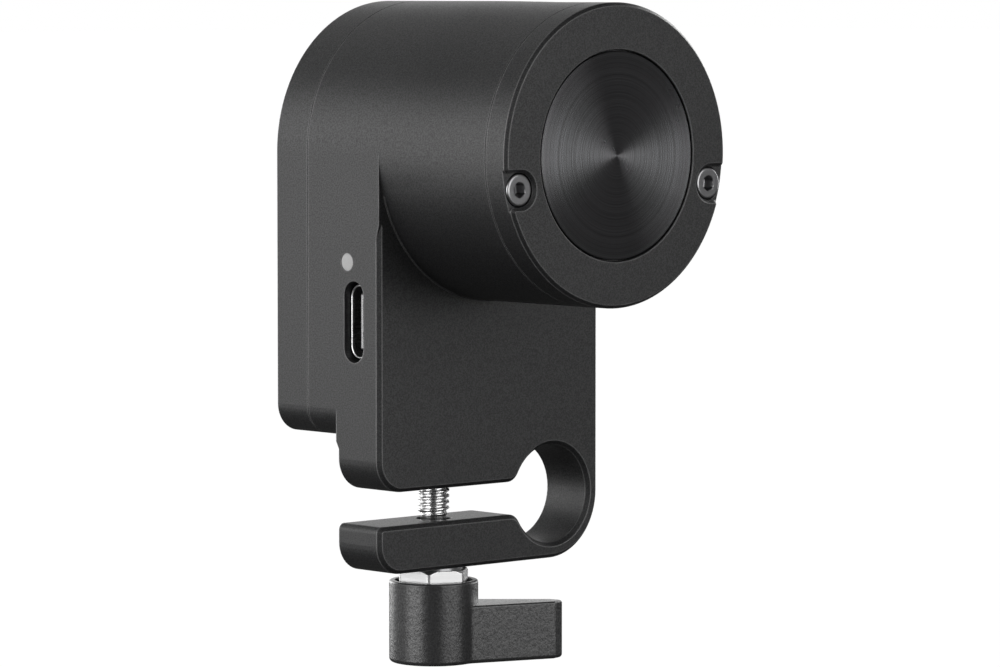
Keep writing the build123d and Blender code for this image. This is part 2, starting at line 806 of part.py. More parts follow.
def make_stator_core():
    """Laminated ring with spokes that end in curved shoes."""
    core = Circle(stator_r) - Circle(stator_r - back_iron)
    shoes = Circle(stator_bore_r + shoe_t) - Circle(stator_bore_r)
    spoke_in = stator_bore_r + shoe_t / 2
    spoke_out = stator_r - back_iron / 2
    for i in range(stator_teeth):
        turn = 360 * i / stator_teeth
        spoke = Pos((spoke_in + spoke_out) / 2, 0) * Rectangle(spoke_out - spoke_in, tooth_w)
        core += Rot(0, 0, turn) * spoke
        gap = Pos(stator_bore_r, 0) * Rectangle(4 * shoe_t, shoe_gap)
        shoes -= Rot(0, 0, turn + 180 / stator_teeth) * gap
    return slab(at_motor() * (core + shoes), stack_front, stack_rear)


def make_stator_coils():
    """One wound coil round each spoke, as a rounded frame."""
    inner = stator_bore_r + shoe_t + coil_play
    outer = stator_r - back_iron - 2 * coil_play
    frame = RectangleRounded(tooth_w + 2 * coil_t, stack_l + 2 * coil_over, coil_t)
    frame -= Rectangle(tooth_w + coil_play, stack_l + coil_play)
    plane = Plane(origin=(inner, 0, 0), x_dir=(0, 0, 1), z_dir=(1, 0, 0))
    coil = extrude(plane * frame, amount=outer - inner)
    middle = Pos(motor_x, (stack_front + stack_rear) / 2, motor_h)
    return [middle * Rot(0, 360 * i / stator_teeth, 0) * coil for i in range(stator_teeth)]


def make_rotor_shaft():
    return motor_disc(rotor_shaft_r, magnet_rear, planet_back + sun_over)


def make_rotor_magnet():
    return motor_tube(rotor_r, rotor_shaft_r, stack_front - rotor_over, stack_rear + rotor_over)


def make_encoder_magnet():
    return motor_disc(encoder_magnet_r, magnet_front, magnet_rear)


def make_encoder_board():
    board = motor_disc(encoder_board_r, encoder_back - encoder_board_t, encoder_back)
    chip = at_motor() * Rectangle(encoder_chip, encoder_chip)
    return board + slab(chip, encoder_back, encoder_back + encoder_chip_t)


# Planetary gearbox

def make_sun_gear():
    face = spur_face(gear_m, sun_teeth, stub, root_depth, planet_deg(0)) - Circle(rotor_shaft_r)
    return slab(at_motor() * face, planet_front - sun_over, planet_back + sun_over)


def make_planet_gear(i):
    """Planet whose space faces the sun's tooth, wherever it sits on its orbit."""
    along = planet_deg(i)
    first = along + 180 - 180 / planet_teeth + (along - planet_deg(0)) * sun_teeth / planet_teeth
    face = spur_face(gear_m, planet_teeth, stub, root_depth, first) - Circle(pin_r + running_fit)
    return slab(at_motor(*planet_place(i)) * face, planet_front, planet_back)


def make_ring_gear():
    """Fixed ring whose spaces meet the outer teeth of the planets."""
    first = planet_deg(0) + 180 * (planet_teeth - 1) / ring_teeth
    hollow = ring_hollow_face(gear_m, ring_teeth, ring_stub, root_depth, first)
    return slab(at_motor() * (Circle(ring_outer_r) - hollow), web_back, carrier_back + ring_over)


def make_planet_pins():
    return [motor_disc(pin_r, planet_front - pin_over, carrier_front + pin_seat, *planet_place(i))
            for i in range(planet_count)]


def make_output_shaft():
    """Planet carrier, shoulder and shaft in one turned piece."""
    shaft = motor_disc(carrier_r, carrier_front, carrier_back)
    shaft += motor_disc(shoulder_r, carrier_back - over, bearing_front)
    shaft += motor_disc(shaft_r, carrier_back - over, shaft_end)
    above_flat = at_motor(0, flat_z + shaft_r) * Rectangle(4 * shaft_r, 2 * shaft_r)
    shaft -= slab(above_flat, drive_front, shaft_end + over)
    for pin in make_planet_pins():
        shaft -= pin
    return shaft - motor_disc(gear_screw_r, pocket_floor - gear_screw_grip - thread_spare, shaft_end + over)


# Output bearing and drive gear

def ball_track():
    """Ring-shaped space that the balls run in, cut as a groove from both bearing rings."""
    middle = Plane(origin=(motor_x, bearing_y, motor_h), z_dir=(0, 1, 0))
    return middle * Torus(ball_orbit_r, ball_r + ball_play)


def make_bearing_outer_ring():
    return motor_tube(bearing_od / 2, race_outer_r, bearing_front, plate_y) - ball_track()


def make_bearing_inner_ring():
    return motor_tube(race_inner_r, shaft_r, bearing_front, plate_y) - ball_track()


def ball_degrees():
    return [360 * i / ball_count for i in range(ball_count)]


def make_bearing_balls():
    balls = []
    for angle in ball_degrees():
        x, z = polar(ball_orbit_r, math.radians(angle))
        balls.append(Pos(motor_x + x, bearing_y, motor_h + z) * Sphere(ball_r))
    return balls


def make_ball_cage():
    """Thin band with a round pocket for each ball."""
    cage = motor_tube(ball_orbit_r + cage_t / 2, ball_orbit_r - cage_t / 2,
                      bearing_y - cage_w / 2, bearing_y + cage_w / 2)
    pocket = Pos(ball_orbit_r, 0, 0) * Rot(0, 90, 0) * Cylinder(ball_r + pocket_play, 4 * cage_t)
    for angle in ball_degrees():
        cage -= Pos(motor_x, bearing_y, motor_h) * Rot(0, angle, 0) * pocket
    return cage


def make_gear_spacer():
    return motor_tube(shoulder_r, shaft_r, plate_y, drive_front)


def make_drive_gear():
    """Spur gear with a flat in its bore, a recess on each face and a pocket for its screw."""
    face = spur_face(drive_m, drive_teeth, drive_addendum, drive_dedendum, 90.0)
    below_flat = Pos(0, flat_z - 2 * shaft_r) * Rectangle(4 * shaft_r, 4 * shaft_r)
    face -= Circle(shaft_r) & below_flat
    gear = slab(at_motor() * face, drive_front, drive_back)
    web_r = drive_m * (drive_teeth / 2 - drive_dedendum) - drive_rim
    gear -= motor_tube(web_r, drive_hub_r, drive_front - over, drive_front + drive_recess)
    gear -= motor_tube(web_r, drive_hub_r, drive_back - drive_recess, drive_back + over)
    return gear - motor_disc(gear_pocket_r, pocket_floor, drive_back + over)


def make_gear_washer():
    return motor_tube(gear_washer_r, gear_screw_r + m2_play / 2, pocket_floor, pocket_floor + gear_washer_t)


def make_gear_screw():
    seat = pocket_floor + gear_washer_t
    return socket_screw(motor_x, motor_h, seat, gear_washer_t + gear_screw_grip, 1, gear_screw_head_r,
                        gear_screw_head_h, gear_screw_r, gear_screw_key)


# Clamp screw and lever

def hexagon(across_flats):
    return Rot(0, 0, hex_deg) * RegularPolygon(across_flats / 2, 6, major_radius=False, rotation=0)


def make_clamp_stud():
    stud = post(stud_r, hub_low, slit_above + stud_bite)
    ends = stud.edges().filter_by(GeomType.CIRCLE).sort_by(Axis.Z)
    stud = chamfer(ends[-1], stud_tip_chamfer)
    return stud - post(lever_screw_r, hub_low - over, hub_low + lever_screw_grip + thread_spare)


def make_clamp_washer():
    return post(washer_r, hub_top, jaw_low) - post(stud_r + tap_play, hub_top - over, jaw_low + over)


def make_clamp_hub():
    hub = stud_prism(hexagon(hex_af), hub_low, hub_top)
    corner_r = hex_af / 2 / math.cos(math.pi / 6)
    blank = post(corner_r, hub_low, hub_top)
    blank = chamfer(blank.edges().filter_by(GeomType.CIRCLE), hub_top_chamfer)
    return (hub & blank) - post(stud_r, hub_low - over, hub_top + over)


def arm_outline():
    """Tapered arm from the stud's axis, with a bevelled tip."""
    flank_end = arm_len - arm_tip_chamfer
    taper = (arm_root_w - arm_tip_w) / 2 / (flank_end - lever_r)
    root = arm_root_w / 2 + taper * lever_r
    tip = arm_tip_w / 2
    nose = tip - arm_tip_chamfer
    points = [(0, -root), (flank_end, -tip), (arm_len, -nose), (arm_len, nose), (flank_end, tip), (0, root)]
    return Rot(0, 0, -arm_deg) * make_face(Polyline(points, close=True))


def lever_plan():
    """Outline of knob and arm together, with the corners between them rounded."""
    plan = Circle(lever_r) + arm_outline()
    corners = [v for v in plan.vertices() if abs(math.hypot(v.X, v.Y) - lever_r) < touch]
    return fillet(corners, arm_root_fillet)


def make_clamp_lever():
    """Cup-shaped knob with a tapered arm: hexagonal socket above, spring room below."""
    base = stud_prism(lever_plan(), lever_low, lever_low + arm_h)
    base = fillet(base.faces().sort_by(Axis.Z)[0].edges(), lever_edge_r)
    base = fillet(base.faces().sort_by(Axis.Z)[-1].edges(), arm_top_r)
    knob = post(lever_r, lever_low + 2 * lever_edge_r, lever_top)
    lever = base + fillet(knob.edges().filter_by(GeomType.CIRCLE).sort_by(Axis.Z)[-1], lever_rim_r)
    lever -= post(lever_r - lever_rim, lever_top - lever_ring_d, lever_top + over)
    lever -= stud_prism(hexagon(hex_af + 2 * hex_play), web_top, lever_top)
    lever -= post(sleeve_r + sleeve_play, web_low - over, web_top + over)
    return lever - post(spring_room_r, lever_low - over, web_low)


def make_lever_screw():
    """Shouldered screw in the open end of the lever: head, sleeve and thread."""
    head = post(lever_head_r, head_top - lever_head_h, head_top)
    head = chamfer(head.edges().filter_by(GeomType.CIRCLE).sort_by(Axis.Z)[0], lever_head_chamfer)
    screw = head + post(sleeve_r, head_top - over, hub_low)
    screw += post(lever_screw_r, head_top, hub_low + lever_screw_grip)
    key = RegularPolygon(lever_head_key / 2, 6, major_radius=False)
    key_top = head_top - (1 - lever_key_depth) * lever_head_h
    return screw - stud_prism(key, head_top - lever_head_h - over, key_top)


def make_lever_spring():
    """Compression spring between the screw's head and the lever's web."""
    rise = web_low - head_top - 2 * (spring_wire_r + spring_play)
    path = Helix(rise / spring_turns, rise, spring_r)
    wire = Plane(origin=path @ 0, z_dir=path % 0) * Circle(spring_wire_r)
    spring = sweep(wire, path=path)
    return Pos(stud_x, 0, head_top + spring_wire_r + spring_play) * spring


def build_all():
    """Every node's name with its solids."""
    nodes = {
        "main_housing": make_main_housing(),
        "front_cap": make_front_cap(),
        "face_disc": make_face_disc(),
        "cap_screws": make_cap_screws(),
        "rear_cover": make_rear_cover(),
        "cover_screws": make_cover_screws(),
        "usb_shell": make_usb_shell(),
        "usb_tongue": make_usb_tongue(),
        "light_pipe": make_light_pipe(),
        "status_led": make_status_led(),
        "main_board": make_main_board(),
        "board_screws": make_board_screws(),
        "board_components": make_board_components(),
        "motor_can": make_motor_can(),
        "motor_end_bell": make_motor_end_bell(),
        "motor_bearings": make_motor_bearings(),
        "motor_screws": make_motor_screws(),
        "stator_core": make_stator_core(),
        "stator_coils": make_stator_coils(),
        "rotor_shaft": make_rotor_shaft(),
        "rotor_magnet": make_rotor_magnet(),
        "encoder_magnet": make_encoder_magnet(),
        "encoder_board": make_encoder_board(),
        "sun_gear": make_sun_gear(),
        "ring_gear": make_ring_gear(),
        "planet_pins": make_planet_pins(),
        "output_shaft": make_output_shaft(),
        "bearing_outer_ring": make_bearing_outer_ring(),
        "bearing_inner_ring": make_bearing_inner_ring(),
        "bearing_balls": make_bearing_balls(),
        "ball_cage": make_ball_cage(),
        "gear_spacer": make_gear_spacer(),
        "drive_gear": make_drive_gear(),
        "gear_washer": make_gear_washer(),
        "gear_screw": make_gear_screw(),
        "clamp_stud": make_clamp_stud(),
        "clamp_washer": make_clamp_washer(),
        "clamp_hub": make_clamp_hub(),
        "clamp_lever": make_clamp_lever(),
        "lever_screw": make_lever_screw(),
        "lever_spring": make_lever_spring(),
    }
    for i in range(planet_count):
        nodes[f"planet_gear_{i + 1}"] = make_planet_gear(i)
    return nodes


os.makedirs("parts", exist_ok=True)
for name, shape in build_all().items():
    solids = shape if isinstance(shape, list) else [shape]
    export_step(solids[0] if len(solids) == 1 else Compound(children=solids), f"parts/{name}.step")
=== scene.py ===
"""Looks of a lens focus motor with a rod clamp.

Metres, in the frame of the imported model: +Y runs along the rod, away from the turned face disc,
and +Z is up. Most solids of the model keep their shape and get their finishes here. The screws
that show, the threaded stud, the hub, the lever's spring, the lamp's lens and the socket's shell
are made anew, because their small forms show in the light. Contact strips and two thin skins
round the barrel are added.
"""
import json
import logging
import math
from dataclasses import dataclass, field
from enum import Enum
from functools import partial
from typing import ClassVar

import bpy
import numpy as np
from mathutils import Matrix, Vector


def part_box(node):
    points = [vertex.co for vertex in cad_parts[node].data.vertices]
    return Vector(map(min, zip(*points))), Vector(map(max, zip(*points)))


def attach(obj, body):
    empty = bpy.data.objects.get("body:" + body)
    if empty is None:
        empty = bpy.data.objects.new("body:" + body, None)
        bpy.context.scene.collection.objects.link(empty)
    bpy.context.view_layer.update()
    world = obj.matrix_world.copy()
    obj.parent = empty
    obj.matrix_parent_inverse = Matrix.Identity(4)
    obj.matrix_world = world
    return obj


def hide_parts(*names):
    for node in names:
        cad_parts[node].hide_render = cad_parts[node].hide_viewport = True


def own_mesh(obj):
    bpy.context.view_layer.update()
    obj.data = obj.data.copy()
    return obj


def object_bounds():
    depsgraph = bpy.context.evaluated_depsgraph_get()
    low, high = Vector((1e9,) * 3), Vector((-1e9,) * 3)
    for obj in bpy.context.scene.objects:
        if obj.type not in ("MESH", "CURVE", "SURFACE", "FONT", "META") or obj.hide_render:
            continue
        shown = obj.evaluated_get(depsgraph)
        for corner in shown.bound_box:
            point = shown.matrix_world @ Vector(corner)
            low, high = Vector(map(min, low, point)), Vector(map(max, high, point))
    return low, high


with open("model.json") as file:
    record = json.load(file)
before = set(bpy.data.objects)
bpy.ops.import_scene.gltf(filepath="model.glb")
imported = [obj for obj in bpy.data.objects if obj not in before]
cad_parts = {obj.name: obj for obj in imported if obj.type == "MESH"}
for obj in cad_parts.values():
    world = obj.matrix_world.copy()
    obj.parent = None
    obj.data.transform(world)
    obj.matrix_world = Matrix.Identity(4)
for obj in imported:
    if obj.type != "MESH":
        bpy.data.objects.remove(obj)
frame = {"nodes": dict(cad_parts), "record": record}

log = logging.getLogger("focus_motor")

MM = 0.001
CAD_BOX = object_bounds()
WHITE = (1.0, 1.0, 1.0, 1.0)

Socket = bpy.types.NodeSocket
Sockets = bpy.types.bpy_prop_collection
Node = bpy.types.Node
Tree = bpy.types.NodeTree

# A Mix node's sockets share their names among its data types, so they go by number.
MIX_FACTOR, FLOAT_A, FLOAT_B, COLOUR_A, COLOUR_B = 0, 2, 3, 6, 7
COLOUR_RESULT = 2


class Lay(Enum):
    """Which way the fine lines of a machined surface run."""

    RINGS = "round the piece's axis"
    ALONG_Y = "across Y"
    ALONG_Z = "across Z"


class Facing(Enum):
    """Which way along Y a screw's head faces."""

    FRONT = -1
    BACK = 1


def fill_inputs(tree: Tree, node: Node, inputs: dict[str | int, object]) -> None:
    """Set or link a node's inputs.

    Args:
        tree: Node tree that holds the node.
        node: The node.
        inputs: Values or output sockets by the name or number of the input.
    """
    for key, value in inputs.items():
        if isinstance(value, Socket):
            tree.links.new(value, node.inputs[key])
        else:
            node.inputs[key].default_value = value


def add_node(tree: Tree, kind: str, inputs: dict[str | int, object] | None = None,
             **settings: object) -> Node:
    """Add a node, set its options and fill or link its inputs.

    Args:
        tree: Node tree that gets the node.
        kind: Blender's name of the node type, without its leading ShaderNode.
        inputs: Values or output sockets by the name or number of the input.
        settings: Options of the node itself.

    Returns:
        The new node.
    """
    node = tree.nodes.new(kind if kind.startswith("NodeGroup") else "ShaderNode" + kind)
    for key, value in settings.items():
        setattr(node, key, value)
    fill_inputs(tree, node, inputs or {})
    return node


def calc(tree: Tree, operation: str, *values: float | Socket, clamp: bool = False) -> Socket:
    """Add one step of arithmetic.

    Args:
        tree: Node tree that gets the step.
        operation: Blender's name of the operation.
        values: Numbers or sockets to work on.
        clamp: Whether the result is kept between 0 and 1.

    Returns:
        Socket of the result.
    """
    step = add_node(tree, "Math", dict(enumerate(values)), operation=operation, use_clamp=clamp)
    return step.outputs[0]


def object_place(tree: Tree) -> Socket:
    """Place of a point in its object's own space."""
    return add_node(tree, "TexCoord").outputs["Object"]


def add_object(name: str, data: bpy.types.ID) -> bpy.types.Object:
    """Make an object at the origin and link it to the scene.

    Args:
        name: Object's name.
        data: Its mesh, lamp or camera.

    Returns:
        The object.
    """
    made = bpy.data.objects.new(name, data)
    bpy.context.scene.collection.objects.link(made)
    return made


class SharedEffects:
    """Node groups that more than one finish uses, each built once."""

    coarse_grain = 2.7  # size of the coarse octave over the fine one
    broad_lines = 0.13  # how often a broad tool line comes, over a fine one
    fine_tone, broad_tone, tone_shift = 2.2, 0.6, -0.9  # weights of the tool lines' tone
    open_gain = 5.0  # how sharply the edge mask ends where the surroundings close in
    open_reach = 0.35 * MM
    edge_gain = 6.0  # mask over the turn of the normal
    edge_samples = 6
    marks_scale = 90.0

    def __init__(self) -> None:
        """Build the groups."""
        self.grain = self._grain()
        self.tool_lines = self._tool_lines()
        self.soft_edge = self._soft_edge()
        self.handling = self._handling()

    @staticmethod
    def _group(name: str, inputs: dict[str, float],
               outputs: dict[str, str]) -> tuple[Tree, Sockets]:
        """Start a group with its sockets.

        Args:
            name: Group's name.
            inputs: Float inputs with their defaults.
            outputs: Output names with their socket types.

        Returns:
            The tree, and the sockets that give its inputs' values.
        """
        tree = bpy.data.node_groups.new(name, "ShaderNodeTree")
        for key, value in inputs.items():
            socket = tree.interface.new_socket(key, in_out="INPUT", socket_type="NodeSocketFloat")
            socket.default_value = value
        for key, kind in outputs.items():
            tree.interface.new_socket(key, in_out="OUTPUT", socket_type=kind)
        return tree, add_node(tree, "NodeGroupInput").outputs

    def _grain(self) -> Tree:
        """Build blasted or moulded grain, whose height is the mean of two octaves of noise.

        Returns:
            Group that puts out a height and a tone.
        """
        tree, given = self._group("surface grain", {"Size": 0.1 * MM},
                                  {"Height": "NodeSocketFloat", "Tone": "NodeSocketFloat"})
        place = object_place(tree)
        often = calc(tree, "DIVIDE", 1.0, given["Size"])
        fine = add_node(tree, "TexNoise", {"Vector": place, "Scale": often, "Detail": 3.0,
                                           "Roughness": 0.6})
        seldom = calc(tree, "DIVIDE", often, self.coarse_grain)
        coarse = add_node(tree, "TexNoise", {"Vector": place, "Scale": seldom, "Detail": 1.0})
        height = calc(tree, "ADD", fine.outputs[0], coarse.outputs[0])
        mean = calc(tree, "MULTIPLY", height, 0.5)
        add_node(tree, "NodeGroupOutput", {"Height": mean, "Tone": fine.outputs[0]})
        return tree

    def _tool_lines(self) -> Tree:
        """Build the lines that a tool leaves, as noise along one distance only.

        Returns:
            Group that puts out a height and a tone.
        """
        tree, given = self._group("tool lines", {"Distance": 0.0, "Pitch": 0.05 * MM},
                                  {"Height": "NodeSocketFloat", "Tone": "NodeSocketFloat"})
        turns = calc(tree, "DIVIDE", given["Distance"], given["Pitch"])
        fine, broad = (
            add_node(tree, "TexNoise", {"W": turns, "Scale": scale, "Detail": 2.0},
                     noise_dimensions="1D")
            for scale in (1.0, self.broad_lines)
        )
        slow = calc(tree, "MULTIPLY_ADD", broad.outputs[0], self.broad_tone, self.tone_shift)
        tone = calc(tree, "MULTIPLY_ADD", fine.outputs[0], self.fine_tone, slow, clamp=True)
        add_node(tree, "NodeGroupOutput", {"Height": fine.outputs[0], "Tone": tone})
        return tree

    def _soft_edge(self) -> Tree:
        """Build broken edges: the normal rounded over a small radius, and a mask of open edges.

        The mask, which places the painted edge highlight, is how far the normal turns, taken away
        where the near surroundings are closed in, as they are in a seam or groove.

        Returns:
            Group that puts out a normal and the mask.
        """
        tree, given = self._group("soft edge", {"Radius": 0.1 * MM},
                                  {"Normal": "NodeSocketVector", "Edge": "NodeSocketFloat"})
        bevel = add_node(tree, "Bevel", {"Radius": given["Radius"]},
                         samples=self.edge_samples)
        true = add_node(tree, "NewGeometry").outputs["True Normal"]
        along = add_node(tree, "VectorMath", {0: bevel.outputs[0], 1: true},
                         operation="DOT_PRODUCT")
        turned = calc(tree, "SUBTRACT", 1.0, along.outputs["Value"])
        near = add_node(tree, "AmbientOcclusion", {"Distance": self.open_reach},
                        samples=self.edge_samples)
        free = calc(tree, "MULTIPLY_ADD", near.outputs["AO"], self.open_gain,
                    1 - self.open_gain, clamp=True)
        edge = calc(tree, "MULTIPLY", turned, self.edge_gain, clamp=True)
        mask = calc(tree, "MULTIPLY", edge, free)
        add_node(tree, "NodeGroupOutput", {"Normal": bevel.outputs[0], "Edge": mask})
        return tree

    def _handling(self) -> Tree:
        """Build broad, faint marks of handling, as low noise about a centimetre across.

        Returns:
            Group that puts out a value about zero.
        """
        tree, given = self._group("handling marks", {"Amount": 0.05}, {"Value": "NodeSocketFloat"})
        cloud = add_node(tree, "TexNoise", {"Vector": object_place(tree), "Distortion": 0.6,
                                            "Scale": self.marks_scale, "Detail": 4.0})
        centred = calc(tree, "SUBTRACT", cloud.outputs[0], 0.5)
        value = calc(tree, "MULTIPLY", centred, given["Amount"])
        add_node(tree, "NodeGroupOutput", {"Value": value})
        return tree


@dataclass(frozen=True)
class SurfaceFinish:
    """What every finish has: a colour, a gloss, softened edges and handling marks.

    Open edges get a painted highlight: a share of the colour and a little grey, added to the colour
    and scaled by the highlight's strength.
    """

    name: str
    colour: tuple[float, float, float]
    roughness: float
    metallic: float = 0.0
    specular: float = 0.5
    edge_radius: float = 0.08 * MM
    # Strength, colour share and grey of the painted highlight on open edges.
    painted_edge_highlight: float = 0.0
    painted_highlight_share: float = 0.5
    painted_highlight_grey: float = 0.1
    tone_spread: float = 0.10
    bump: float = 0.1
    bump_height: float = 0.01 * MM
    handling: float = 0.08

    def build(self, effects: SharedEffects) -> bpy.types.Material:
        """Make the material.

        Args:
            effects: The shared node groups.

        Returns:
            The finished material.
        """
        material = bpy.data.materials.new(self.name)
        material.use_nodes = True
        tree = material.node_tree
        tree.nodes.clear()
        height, tone = self.pattern(tree, effects)
        edge = add_node(tree, "Group", {"Radius": self.edge_radius}, node_tree=effects.soft_edge)
        marks = add_node(tree, "Group", {"Amount": self.handling}, node_tree=effects.handling)
        normal = add_node(tree, "Bump", {
            "Height": height, "Normal": edge.outputs["Normal"],
            "Strength": self.bump, "Distance": self.bump_height})
        dark = tuple(c * (1 - self.tone_spread) for c in self.colour) + (1.0,)
        light = tuple(min(1.0, c * (1 + self.tone_spread)) for c in self.colour) + (1.0,)
        toned = add_node(tree, "Mix", {MIX_FACTOR: tone, COLOUR_A: dark, COLOUR_B: light},
                         data_type="RGBA")
        # Painted highlight: open edges get a lighter colour added, standing in for light caught on
        # the edges.
        lift = calc(tree, "MULTIPLY", edge.outputs["Edge"], self.painted_edge_highlight)
        bright = tuple(self.painted_highlight_share * c + self.painted_highlight_grey for c in self.colour) + (1.0,)
        edge_highlit_colour = add_node(tree, "Mix", {
            MIX_FACTOR: lift, COLOUR_A: toned.outputs[COLOUR_RESULT], COLOUR_B: bright},
            data_type="RGBA", blend_type="ADD")
        rough = calc(tree, "ADD", marks.outputs[0], self.roughness, clamp=True)
        shader = add_node(tree, "BsdfPrincipled", {
            "Base Color": edge_highlit_colour.outputs[COLOUR_RESULT], "Roughness": rough,
            "Metallic": self.metallic, "Normal": normal.outputs[0],
            "Specular IOR Level": self.specular})
        self.finish_shader(tree, shader, tone)
        add_node(tree, "OutputMaterial", {"Surface": shader.outputs[0]})
        return material

    def pattern(self, tree: Tree, effects: SharedEffects) -> tuple[Socket, Socket]:
        """Height and tone over the surface; each kind of finish has its own."""
        raise NotImplementedError

    def finish_shader(self, tree: Tree, shader: Node, tone: Socket) -> None:
        """Last settings of the shader, where a kind of finish has any."""


@dataclass(frozen=True)
class GrainFinish(SurfaceFinish):
    """Blasted, coated or moulded surface with an even grain, whose tops can sparkle."""

    grain_size: float = 0.12 * MM
    sparkle: float = 0.0
    sparkle_gain: float = 4.5
    sparkle_shift: float = -1.75

    def pattern(self, tree: Tree, effects: SharedEffects) -> tuple[Socket, Socket]:
        """Place the shared grain at this finish's size.

        Args:
            tree: The material's node tree.
            effects: The shared node groups.

        Returns:
            The grain's height and tone.
        """
        grain = add_node(tree, "Group", {"Size": self.grain_size}, node_tree=effects.grain)
        return grain.outputs["Height"], grain.outputs["Tone"]

    def finish_shader(self, tree: Tree, shader: Node, tone: Socket) -> None:
        """Lay a thin coat over the finish, strong on the grain's tops and weak between them.

        Args:
            tree: The material's node tree.
            shader: Its shader.
            tone: The grain's tone.
        """
        if not self.sparkle:
            return
        steep = calc(tree, "MULTIPLY_ADD", tone, self.sparkle_gain, self.sparkle_shift, clamp=True)
        weight = calc(tree, "MULTIPLY", steep, self.sparkle)
        fill_inputs(tree, shader, {"Coat Weight": weight, "Coat Roughness": self.roughness})


@dataclass(frozen=True)
class MachinedFinish(SurfaceFinish):
    """Turned, drawn or ground metal whose fine lines run one way."""

    lay: Lay = Lay.RINGS
    pitch: float = 0.05 * MM
    anisotropy: float = 0.0
    centre: tuple[float, float, float] = (0.0, 0.0, 0.0)
    axis: tuple[float, float, float] = (0.0, 1.0, 0.0)

    def _from_axis(self, tree: Tree) -> Socket:
        """Find the way from the piece's axis to a point, which is its place without the axial part.

        Args:
            tree: The material's node tree.

        Returns:
            Socket of the vector.
        """
        place = add_node(tree, "Mapping", {"Vector": object_place(tree),
                                           "Location": [-c for c in self.centre]})
        across = tuple(1.0 - abs(a) for a in self.axis)
        flat = add_node(tree, "VectorMath", {0: place.outputs[0], 1: across}, operation="MULTIPLY")
        return flat.outputs[0]

    def pattern(self, tree: Tree, effects: SharedEffects) -> tuple[Socket, Socket]:
        """Feed the shared tool lines with the distance that they are spaced along.

        Args:
            tree: The material's node tree.
            effects: The shared node groups.

        Returns:
            The lines' height and tone.
        """
        if self.lay is Lay.RINGS:
            reach = add_node(tree, "VectorMath", {0: self._from_axis(tree)}, operation="LENGTH")
            distance = reach.outputs["Value"]
        else:
            parts = add_node(tree, "SeparateXYZ", {0: object_place(tree)})
            distance = parts.outputs[1 if self.lay is Lay.ALONG_Y else 2]
        lines = add_node(tree, "Group", {"Pitch": self.pitch, "Distance": distance},
                         node_tree=effects.tool_lines)
        return lines.outputs["Height"], lines.outputs["Tone"]

    def finish_shader(self, tree: Tree, shader: Node, tone: Socket) -> None:
        """Stretch the highlight across the rings: the tangent points away from the axis.

        Args:
            tree: The material's node tree.
            shader: Its shader.
            tone: The lines' tone, not used here.
        """
        if not self.anisotropy:
            return
        tangent = add_node(tree, "VectorMath", {0: self._from_axis(tree)}, operation="NORMALIZE")
        fill_inputs(tree, shader, {"Tangent": tangent.outputs[0], "Anisotropic": self.anisotropy})


@dataclass(frozen=True)
class LampFinish(GrainFinish):
    """Milky plastic that lets some light through."""

    scatter: float = 0.5
    depth: float = 0.6 * MM

    def finish_shader(self, tree: Tree, shader: Node, tone: Socket) -> None:
        """Scatter light under the surface.

        Args:
            tree: The material's node tree.
            shader: Its shader.
            tone: The grain's tone, not used here.
        """
        fill_inputs(tree, shader, {"Subsurface Weight": self.scatter,
                                   "Subsurface Radius": (1.0, 1.0, 1.0),
                                   "Subsurface Scale": self.depth})


def signed_volume(points: np.ndarray, quads: np.ndarray, triangles: np.ndarray) -> float:
    """Volume of a closed surface, negative where its faces point inwards.

    It is a sixth of the sum, over the triangles, of each one's corners' triple product. A quad
    counts as the two triangles on its first diagonal.

    Args:
        points: Vertices, one row each.
        quads: Corner numbers, four in a row.
        triangles: Corner numbers, three in a row.

    Returns:
        The signed volume.
    """
    every = np.concatenate([quads[:, :3], quads[:, [0, 2, 3]], triangles])
    a, b, c = (points[every[:, i]] for i in range(3))
    return float(np.einsum("ij,ij->i", a, np.cross(b, c)).sum() / 6)


def wall_faces(rings: int, columns: int, joined: bool) -> np.ndarray:
    """Quads between neighbouring points of a grid that closes round its columns.

    Args:
        rings: Number of rings.
        columns: Points in a ring.
        joined: Whether the last ring meets the first.

    Returns:
        Corner numbers, four in a row.
    """
    rows = np.arange(rings if joined else rings - 1)
    i, j = np.meshgrid(rows, np.arange(columns), indexing="ij")
    below, after = (i + 1) % rings, (j + 1) % columns
    corners = [i * columns + j, i * columns + after, below * columns + after, below * columns + j]
    return np.stack(corners, -1).reshape(-1, 4)


def end_faces(rings: int, columns: int) -> np.ndarray:
    """Triangles from the first and the last ring to the two middle points that follow the grid.

    Args:
        rings: Number of rings.
        columns: Points in a ring.

    Returns:
        Corner numbers, three in a row.
    """
    j = np.arange(columns)
    after = (j + 1) % columns
    middle = np.full(columns, rings * columns)
    base = (rings - 1) * columns
    first = np.stack([middle, after, j], -1)
    last = np.stack([middle + 1, base + j, base + after], -1)
    return np.concatenate([first, last])


